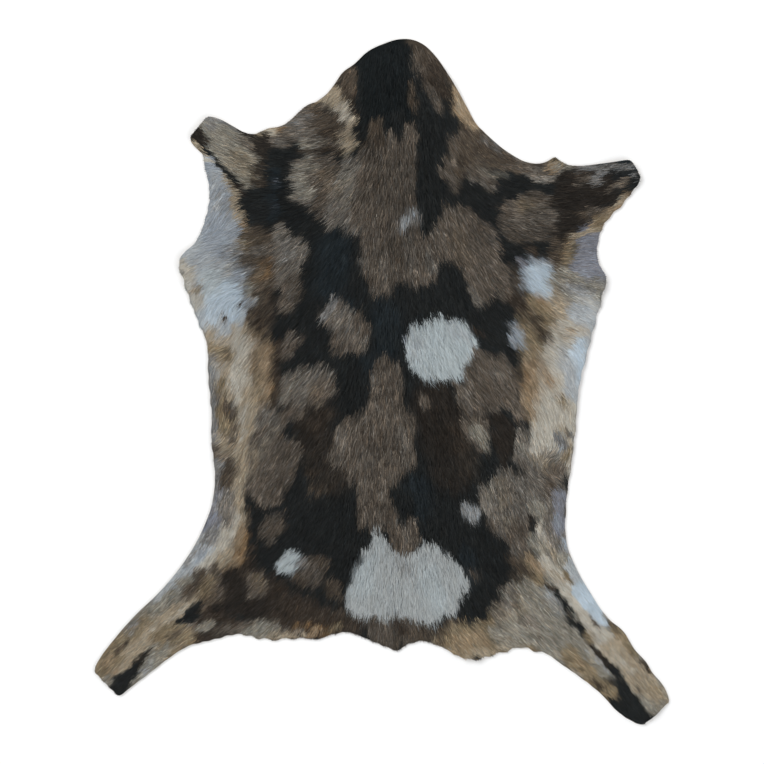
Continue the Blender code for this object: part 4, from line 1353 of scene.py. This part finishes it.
@dataclass(frozen=True)
class HideMap:
    """The skin as maps on a lattice, in millimetres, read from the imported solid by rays."""

    left: float
    bottom: float
    step: float
    lift: np.ndarray
    top: np.ndarray
    rim: np.ndarray
    margin: ClassVar[int] = 9

    @classmethod
    def read(
        cls, shape: bmesh.types.BMesh, outline: Outline, step: float = 2.0
    ) -> "HideMap":
        """Reads a closed solid from above and from below.

        Args:
            shape: The solid, its doubles merged.
            outline: The skin's cut edge.
            step: The distance between the lattice's points, in millimetres.

        Returns:
            The maps; rim is how far inside the outline a place is, below 0 outside.
        """
        low, high = cad_box
        margin = cls.margin * step
        xs = np.arange(low[0] / MM - margin, high[0] / MM + margin, step)
        ys = np.arange(low[1] / MM - margin, high[1] / MM + margin, step)
        tree = BVHTree.FromBMesh(shape)
        lift = np.full((ys.size, xs.size), np.nan)
        top = lift.copy()
        up, down = Vector((0, 0, 1)), Vector((0, 0, -1))
        for row, y in enumerate(ys * MM):
            for col, x in enumerate(xs * MM):
                hit = tree.ray_cast(Vector((x, y, 1.0)), down)[0]
                if hit is None:
                    continue
                top[row, col] = hit.z / MM
                lift[row, col] = tree.ray_cast(Vector((x, y, -1.0)), up)[0].z / MM
        rim = outline.measure(xs, ys)
        for layer in (lift, top):
            cls._carry_out(layer, cls.margin)
        return cls(xs[0], ys[0], step, lift, top, rim)

    @staticmethod
    def _carry_out(layer: np.ndarray, rings: int) -> None:
        """Carries a map's values past the outline, ring by ring.

        Args:
            layer: The map, with nan where it has no value.
            rings: How many lattice steps to go; what is left after them becomes 0.
        """
        for _ in range(rings):
            shifts = [
                np.roll(layer, shift, axis) for axis in (0, 1) for shift in (-1, 1)
            ]
            stack = np.array(shifts)
            known = ~np.isnan(stack)
            count = known.sum(0)
            mean = np.where(known, stack, 0).sum(0) / np.maximum(count, 1)
            fill = np.isnan(layer) & (count > 0)
            layer[fill] = mean[fill]
        layer[np.isnan(layer)] = 0.0

    def sample(self, layer: np.ndarray, x: np.ndarray, y: np.ndarray) -> np.ndarray:
        """Reads a map between its points.

        Args:
            layer: One of the maps.
            x: Places across the skin, in millimetres.
            y: Places along the skin, in millimetres.

        Returns:
            The map's value at each place.
        """
        col = np.clip((x - self.left) / self.step, 0, layer.shape[1] - 1.001)
        row = np.clip((y - self.bottom) / self.step, 0, layer.shape[0] - 1.001)
        return between(layer, row, col)

    def height_at(self, layer: np.ndarray, vert: bmesh.types.BMVert) -> float:
        """Reads a map at one vertex, in millimetres."""
        place = np.array(vert.co.xy) / MM
        return self.sample(layer, place[:1], place[1:])[0]


class CadShape:
    """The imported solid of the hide, as a mesh of its own to make pieces from."""

    @staticmethod
    def copy() -> bmesh.types.BMesh:
        """A merged copy of the node's loose triangles."""
        shape = bmesh.new()
        shape.from_mesh(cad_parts[NODE].data)
        bmesh.ops.remove_doubles(shape, verts=shape.verts, dist=1e-5)
        shape.normal_update()
        return shape

    @staticmethod
    def to_piece(
        shape: bmesh.types.BMesh, name: str, material: bpy.types.Material, slot: Slot
    ) -> bpy.types.Object:
        """Makes an object of a finished shape and lets it ride on the hide.

        Args:
            shape: The shape; it is freed.
            name: The piece's name.
            material: Its finish.
            slot: Passed on to place, not used.

        Returns:
            The object, already in the scene.
        """
        mesh = bpy.data.meshes.new(name)
        shape.to_mesh(mesh)
        shape.free()
        return CadShape.place(mesh, name, material, slot)

    @staticmethod
    def place(
        mesh: bpy.types.Mesh, name: str, material: bpy.types.Material, slot: Slot
    ) -> bpy.types.Object:
        """Puts a finished mesh in the scene as a piece that rides on the hide.

        Args:
            mesh: The mesh, in place.
            name: The piece's name.
            material: Its finish.
            slot: Not used.

        Returns:
            The object.
        """
        mesh.materials.append(material)
        mesh.polygons.foreach_set("use_smooth", [True] * len(mesh.polygons))
        piece = bpy.data.objects.new(name, mesh)
        bpy.context.scene.collection.objects.link(piece)
        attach(piece, BODY)
        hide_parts(NODE)
        return piece


@dataclass(frozen=True)
class Skin:
    """The tanned skin: one sheet, cut to the hide's outline."""

    name: str = "skin"
    thickness: float = SKIN_THICKNESS
    width: float = 0.718
    length: float = 0.857
    area: float = 0.341

    def build(self, outline: Outline, ground: HideMap) -> bpy.types.Object:
        """Cuts the sheet, lays it over the hide's folds and thickens it.

        Args:
            outline: The skin's cut edge.
            ground: The hide's maps.

        Returns:
            The piece.
        """
        shape = outline.sheet()
        for vert in shape.verts:
            vert.co.z = ground.height_at(ground.lift, vert) * MM
        grown = bmesh.ops.extrude_face_region(
            shape, geom=shape.faces[:], use_keep_orig=True
        )
        raised = [v for v in grown["geom"] if isinstance(v, bmesh.types.BMVert)]
        bmesh.ops.translate(shape, verts=raised, vec=(0, 0, self.thickness * MM))
        bmesh.ops.recalc_face_normals(shape, faces=shape.faces[:])
        material = SkinFinish().material()
        return CadShape.to_piece(shape, self.name, material, Slot.SKIN)


@dataclass(frozen=True)
class Down:
    """The short down under the hair, a low lumpy layer that fills the coat's roots."""

    name: str = "down"
    share_of_pile: float = 0.4
    least_depth: float = 0.2
    clearance: float = 0.02
    # The down takes the coat's colour darkened by this share, a painted shade for the depth
    # between the hairs.
    shade: float = 0.85

    def build(
        self, outline: Outline, ground: HideMap, chart: CoatChart
    ) -> bpy.types.Object:
        """Lays a second sheet on the skin, raises its top into lumps and colours it.

        Args:
            outline: The skin's cut edge.
            ground: The hide's maps.
            chart: The coat's chart.

        Returns:
            The piece.
        """
        shape = outline.sheet()
        bmesh.ops.subdivide_edges(
            shape, edges=shape.edges[:], cuts=1, use_grid_fill=True
        )
        floor = SKIN_THICKNESS + self.clearance
        for vert in shape.verts:
            vert.co.z = (ground.height_at(ground.lift, vert) + floor) * MM
        grown = bmesh.ops.extrude_face_region(
            shape, geom=shape.faces[:], use_keep_orig=True
        )
        for vert in grown["geom"]:
            if isinstance(vert, bmesh.types.BMVert):
                depth = ground.height_at(ground.top, vert) - vert.co.z / MM
                vert.co.z += max(depth, self.least_depth) * self.share_of_pile * MM
        bmesh.ops.triangulate(shape, faces=shape.faces[:])
        bmesh.ops.recalc_face_normals(shape, faces=shape.faces[:])
        co = np.array([v.co for v in shape.verts]) / MM
        colour, _ = chart.colour_at(co[:, 0], co[:, 1])
        material = DownFinish().material()
        piece = CadShape.to_piece(shape, self.name, material, Slot.HAIR)
        values = np.ones((len(co), 4), np.float32)
        # Painted shade: the down is darker than the hair above it.
        values[:, :3] = colour * self.shade
        layer = piece.data.color_attributes.new("coat", "FLOAT_COLOR", "POINT")
        layer.data.foreach_set("color", values.ravel())
        return piece


@dataclass(frozen=True)
class Blade:
    """The pattern of one hair: a narrow strip that ends in a point."""

    levels: np.ndarray
    sides: np.ndarray
    corners: np.ndarray
    starts: np.ndarray

    @classmethod
    def cut(cls, segments: int = 2) -> "Blade":
        """Cuts the strip from a grid whose far end is merged.

        Args:
            segments: How many lengths the strip has.

        Returns:
            The pattern.
        """
        strip = bmesh.new()
        bmesh.ops.create_grid(strip, x_segments=1, y_segments=segments, size=0.5)
        end = [v for v in strip.verts if v.co.y > 0.49]
        bmesh.ops.pointmerge(strip, verts=end, merge_co=(0, 0.5, 0))
        strip.verts.index_update()
        levels = [round((v.co.y + 0.5) * segments) for v in strip.verts]
        sides = [2 * v.co.x for v in strip.verts]
        corners = [v.index for f in strip.faces for v in f.verts]
        sizes = [len(f.verts) for f in strip.faces]
        strip.free()
        starts = np.cumsum([0, *sizes[:-1]])
        return cls(np.array(levels), np.array(sides), np.array(corners), starts)


@dataclass(frozen=True)
class Coat:
    """The long hair: strips that rise from the skin and lie down along the coat."""

    spacing: float = 1.09
    width: float = 0.66
    stray: float = 11.0
    lock_turn: float = 4.0
    roll: float = 42.0
    lock_size: float = 7.5
    lock_pull: tuple[float, ...] = (0.0, 0.2, 0.42)
    rise: tuple[float, ...] = (0.0, 0.96, 0.86)
    taper: tuple[float, ...] = (0.8, 1.0, 0.0)
    # From root to tip: painted shade at the root, deep in the pile, and a painted highlight at
    # the tip.
    shading: tuple[float, ...] = (0.68, 0.98, 1.08)
    steps: tuple[float, ...] = (0.42, 0.58)
    seen_at: float = 0.68
    seen_lock: float = 0.4
    overhang: float = 0.7
    warmth: float = 0.05
    lock_tone: float = 0.3
    sleek_hold: float = 0.75
    sleek_width: float = 0.25
    sleek_shading: float = 0.6
    length_spread: tuple[float, float] = (-0.28, 0.18)
    lock_spread: tuple[float, float] = (-0.12, 0.1)
    pile_share: tuple[float, float] = (0.4, 1.0)
    sway: float = 0.35
    lock_slide: float = 2.2
    hair_slide: float = 1.6
    lock_bend: float = 4.0
    lock_shift: float = 1.2
    root_inset: float = 0.4
    trims: int = 36
    trim_share: float = 0.95
    least_pile: float = 0.6
    root_depth: float = 0.1

    def roots(self, ground: HideMap, draw: np.random.Generator) -> np.ndarray:
        """Sets the hairs out on a jittered lattice inside the outline.

        Args:
            ground: The hide's maps.
            draw: The source of random numbers.

        Returns:
            One row of x and y for each hair, in millimetres.
        """
        low, high = cad_box
        xs = np.arange(low[0] / MM, high[0] / MM, self.spacing)
        ys = np.arange(low[1] / MM, high[1] / MM, self.spacing)
        places = np.stack(np.meshgrid(xs, ys), -1).reshape(-1, 2)
        places += draw.uniform(-0.5, 0.5, places.shape) * self.spacing
        inside = ground.sample(ground.rim, places[:, 0], places[:, 1])
        return places[inside > self.root_inset]

    def locks(
        self, places: np.ndarray, draw: np.random.Generator
    ) -> tuple[np.ndarray, np.ndarray]:
        """Gathers the hairs in locks.

        Args:
            places: The roots.
            draw: The source of random numbers.

        Returns:
            The middle of each hair's lock, and the lock's number.
        """
        bend = [Waver(22, seed).at(places[:, 0], places[:, 1]) for seed in (11, 12)]
        cells = places + self.lock_bend * np.stack(bend, -1)
        cells = np.floor(cells / self.lock_size)
        _, number = np.unique(cells, axis=0, return_inverse=True)
        number = number.ravel()
        count = np.bincount(number)
        middle = np.stack(
            [np.bincount(number, places[:, axis]) / count for axis in (0, 1)], -1
        )
        middle += draw.uniform(-self.lock_shift, self.lock_shift, middle.shape)
        return middle[number], number

    def comb(
        self, ground: HideMap, chart: CoatChart, draw: np.random.Generator
    ) -> dict[str, np.ndarray]:
        """Lays every hair along the coat.

        Args:
            ground: The hide's maps.
            chart: The coat's chart.
            draw: The source of random numbers.

        Returns:
            paths, across, colour, shading, width and region, one row for each hair.
        """
        root = self.roots(ground, draw)
        count = len(root)
        middle, lock = self.locks(root, draw)
        lock_count = lock.max() + 1
        length, sleek = chart.growth_at(root[:, 0], root[:, 1])
        loose = 1 - self.sleek_hold * sleek
        turn = draw.normal(0, self.lock_turn, lock_count)[lock]
        turn = np.radians((turn + draw.normal(0, self.stray, count)) * loose)
        length *= 1 + draw.uniform(*self.length_spread, count)
        length *= 1 + draw.uniform(*self.lock_spread, lock_count)[lock] * loose
        spots = self.run_on(chart, root, turn, length)
        heading = chart.heading_at(root[:, 0], root[:, 1])
        ahead = np.stack([np.cos(heading), np.sin(heading)], -1)
        aside = np.stack([-ahead[:, 1], ahead[:, 0]], -1)
        offset = ((root - middle) * aside).sum(1) * loose
        sway = draw.normal(0, self.sway, (len(spots), count)) * loose
        for level in range(1, len(spots)):
            shift = sway[level] - self.lock_pull[level] * offset
            spots[level] = spots[level] + shift[:, None] * aside
        spots = self.trim(ground, spots, draw)
        height = draw.uniform(*self.pile_share, count)
        paths = self.raise_hair(ground, spots, height)
        seen = root + (spots[-1] - root) * self.seen_at
        in_lock = middle + seen - root
        seen = (1 - self.seen_lock) * seen + self.seen_lock * in_lock
        slide = draw.normal(0, self.lock_slide, lock_count)[lock]
        slide = slide + draw.normal(0, self.hair_slide, count)
        seen += slide[:, None] * ahead
        choice = draw.uniform(0, 0.5, lock_count)[lock] + draw.uniform(0, 0.5, count)
        colour, fleck = chart.colour_at(seen[:, 0], seen[:, 1], choice)
        tone = fleck * draw.normal(0, 1, count) - 0.5 * fleck**2
        tone += self.lock_tone * fleck * draw.normal(0, 1, lock_count)[lock]
        warm = np.minimum(self.warmth, fleck / 5) * draw.normal(0, 1, count)
        tints = np.exp(np.stack([tone + warm, tone, tone - warm], -1))
        roll = np.radians(draw.uniform(-self.roll, self.roll, count) * loose)
        shading = np.array(self.shading)
        flat = sleek[:, None] * self.sleek_shading
        return {
            "paths": paths,
            "across": np.column_stack([aside * np.cos(roll)[:, None], np.sin(roll)]),
            "colour": colour * tints,
            "shading": shading[None, :] * (1 - flat) + flat,
            "width": self.width * (1 - self.sleek_width * sleek),
            "region": chart.region_at(root[:, 0], root[:, 1]),
        }

    def run_on(
        self, chart: CoatChart, root: np.ndarray, turn: np.ndarray, length: np.ndarray
    ) -> list[np.ndarray]:
        """Follows the coat's lie from each root.

        Args:
            chart: The coat's chart.
            root: The roots.
            turn: How far each hair turns off the lie, in radians.
            length: The hairs' lengths, in millimetres.

        Returns:
            The places of the strip's levels, root first.
        """
        spots = [root]
        for step in self.steps:
            last = spots[-1]
            way = chart.heading_at(last[:, 0], last[:, 1]) + turn
            run = np.stack([np.cos(way), np.sin(way)], -1)
            spots.append(last + run * (length * step)[:, None])
        return spots

    def trim(
        self, ground: HideMap, spots: list[np.ndarray], draw: np.random.Generator
    ) -> list[np.ndarray]:
        """Shortens the hairs that would reach too far past the cut edge.

        Args:
            ground: The hide's maps.
            spots: The places of the strip's levels, root first.
            draw: The source of random numbers.

        Returns:
            The places after trimming.
        """
        root, tip = spots[0], spots[-1]
        reach = np.linalg.norm(tip - root, axis=1)
        free = draw.uniform(0.0, self.overhang, len(root)) / np.maximum(reach, 1.0)
        scale = np.ones(len(root))
        for _ in range(self.trims):
            end = root + (tip - root) * np.maximum(scale - free, 0)[:, None]
            out = ground.sample(ground.rim, end[:, 0], end[:, 1]) < 0
            scale = np.where(out, scale * self.trim_share, scale)
        return [root + (spot - root) * scale[:, None] for spot in spots]

    def raise_hair(
        self, ground: HideMap, spots: list[np.ndarray], height: np.ndarray
    ) -> np.ndarray:
        """Lifts the hairs into the pile.

        Args:
            ground: The hide's maps.
            spots: The places of the strip's levels, root first.
            height: How high in the pile each hair lies, as a share of its depth.

        Returns:
            The levels' points, one row for each hair, in millimetres.
        """
        paths = np.zeros((len(height), len(spots), 3))
        for level, spot in enumerate(spots):
            lift = ground.sample(ground.lift, spot[:, 0], spot[:, 1])
            top = ground.sample(ground.top, spot[:, 0], spot[:, 1])
            pile = np.maximum(top - lift - SKIN_THICKNESS, self.least_pile)
            rise = self.rise[level] * height * pile
            paths[:, level, :2] = spot
            paths[:, level, 2] = lift + SKIN_THICKNESS - self.root_depth + rise
        return paths

    def build(
        self, ground: HideMap, chart: CoatChart, material: bpy.types.Material
    ) -> list[bpy.types.Object]:
        """Grows the coat, one piece for each of its areas.

        Args:
            ground: The hide's maps.
            chart: The coat's chart.
            material: The finish of the hair.

        Returns:
            The pieces.
        """
        hair = self.comb(ground, chart, np.random.default_rng(SEED))
        areas = np.array([list(Area).index(r.area) for r in chart.regions])
        area_of = areas[hair["region"]]
        blade = Blade.cut(len(self.steps))
        pieces = []
        for number, area in enumerate(Area):
            chosen = area_of == number
            part = {name: rows[chosen] for name, rows in hair.items()}
            mesh = self.weave(area.value, blade, part)
            pieces.append(CadShape.place(mesh, area.value, material, Slot.HAIR))
            LOG.info("%s: %d hairs", area.value, chosen.sum())
        return pieces

    def weave(
        self, name: str, blade: Blade, hair: dict[str, np.ndarray]
    ) -> bpy.types.Mesh:
        """Joins copies of the blade into one mesh.

        Args:
            name: The mesh's name.
            blade: The pattern of one hair.
            hair: The rows of comb for these hairs.

        Returns:
            The mesh, with its colours and its bake map.
        """
        count, size = len(hair["paths"]), len(blade.levels)
        taper = np.array(self.taper)[blade.levels] * blade.sides / 2
        half = taper[None, :] * hair["width"][:, None]
        verts = hair["paths"][:, blade.levels]
        verts = verts + half[:, :, None] * hair["across"][:, None, :]
        shading = hair["shading"][:, blade.levels]
        colours = np.ones((count, size, 4), np.float32)
        # The hair's colour with painted shade at the root and a painted highlight at the tip.
        colours[:, :, :3] = hair["colour"][:, None, :] * shading[:, :, None]
        corners = (np.arange(count) * size)[:, None] + blade.corners[None, :]
        starts = (np.arange(count) * blade.corners.size)[:, None] + blade.starts
        mesh = bpy.data.meshes.new(name)
        mesh.vertices.add(count * size)
        mesh.vertices.foreach_set("co", (verts * MM).astype(np.float32).ravel())
        mesh.loops.add(corners.size)
        mesh.loops.foreach_set("vertex_index", corners.astype(np.int32).ravel())
        mesh.polygons.add(starts.size)
        mesh.polygons.foreach_set("loop_start", starts.astype(np.int32).ravel())
        mesh.update(calc_edges=True)
        layer = mesh.color_attributes.new("coat", "FLOAT_COLOR", "POINT")
        layer.data.foreach_set("color", np.clip(colours, 0, 1).ravel())
        flat = verts.reshape(-1, 3)[corners.ravel(), :2]
        low, high = flat.min(0), flat.max(0)
        bake = mesh.uv_layers.new(name="OFBake")
        spread = (flat - low) / (high - low)
        bake.uv.foreach_set("vector", spread.astype(np.float32).ravel())
        mesh.validate()
        return mesh


@dataclass(frozen=True)
class Softbox:
    """A square light that faces the rug, in metres and watts."""

    name: str
    place: tuple[float, float, float]
    size: float
    power: float

    def hang(self) -> None:
        """Hangs the light in its place."""
        light = bpy.data.lights.new(self.name, "AREA")
        light.size = self.size
        light.energy = self.power
        lamp = bpy.data.objects.new(self.name, light)
        lamp.location = self.place
        lamp.rotation_euler = Vector(self.place).to_track_quat("Z", "Y").to_euler()
        bpy.context.scene.collection.objects.link(lamp)


@dataclass(frozen=True)
class Studio:
    """A pale floor, soft light and a camera straight above the rug."""

    floor_size: float = 30.0
    floor_gap: float = 0.0004
    lens: float = 100.0
    sensor: float = 36.0
    sight: float = 50.0
    key: Softbox = Softbox("key", (-2.2, 2.0, 3.6), 2.7, 131.0)
    fill: Softbox = Softbox("fill", (2.5, -1.8, 3.3), 3.3, 66.0)
    sky: tuple[float, float, float] = (0.97, 0.985, 1.0)
    sky_strength: float = 0.62

    def build(self) -> None:
        """Sets up the floor, the lights, the world and the camera."""
        self.add_floor()
        self.key.hang()
        self.fill.hang()
        self.add_world()
        self.add_camera()
        view = bpy.context.scene.view_settings
        view.view_transform = "Standard"
        view.look = "None"

    def add_floor(self) -> None:
        """Lays the floor just under the rug."""
        shape = bmesh.new()
        bmesh.ops.create_grid(
            shape, x_segments=1, y_segments=1, size=self.floor_size / 2
        )
        bmesh.ops.translate(shape, verts=shape.verts, vec=(0, 0, -self.floor_gap))
        mesh = bpy.data.meshes.new("floor")
        shape.to_mesh(mesh)
        shape.free()
        mesh.materials.append(FloorFinish().material())
        floor = bpy.data.objects.new("floor", mesh)
        bpy.context.scene.collection.objects.link(floor)

    def add_world(self) -> None:
        """Gives the room its even pale light."""
        world = bpy.data.worlds.new("studio")
        world.use_nodes = True
        background = world.node_tree.nodes["Background"]
        background.inputs["Color"].default_value = (*self.sky, 1.0)
        background.inputs["Strength"].default_value = self.sky_strength
        bpy.context.scene.world = world

    def add_camera(self) -> None:
        """Hangs the camera straight above, as far up as the photograph's frame needs."""
        data = bpy.data.cameras.new("camera")
        data.lens = self.lens
        data.sensor_width = self.sensor
        data.clip_end = self.sight
        camera = bpy.data.objects.new("camera", data)
        camera.location = (0, 0, PHOTO_FRAME * MM * self.lens / self.sensor)
        bpy.context.scene.collection.objects.link(camera)
        bpy.context.scene.camera = camera


def main() -> None:
    """Builds the rug and the studio around it."""
    logging.basicConfig(level=logging.INFO, format="%(message)s")
    shape = CadShape.copy()
    outline = Outline.read(shape)
    ground = HideMap.read(shape, outline)
    shape.free()
    LOG.info("maps: %s", ground.top.shape)
    chart = CoatChart(REGIONS)
    skin = Skin()
    sheet = skin.build(outline, ground)
    LOG.info("skin: %d faces", len(sheet.data.polygons))
    down = Down().build(outline, ground, chart)
    LOG.info("down: %d faces", len(down.data.polygons))
    hair = Coat().build(ground, chart, HairFinish().material())
    Studio().build()


if __name__ == "__main__":
    main()
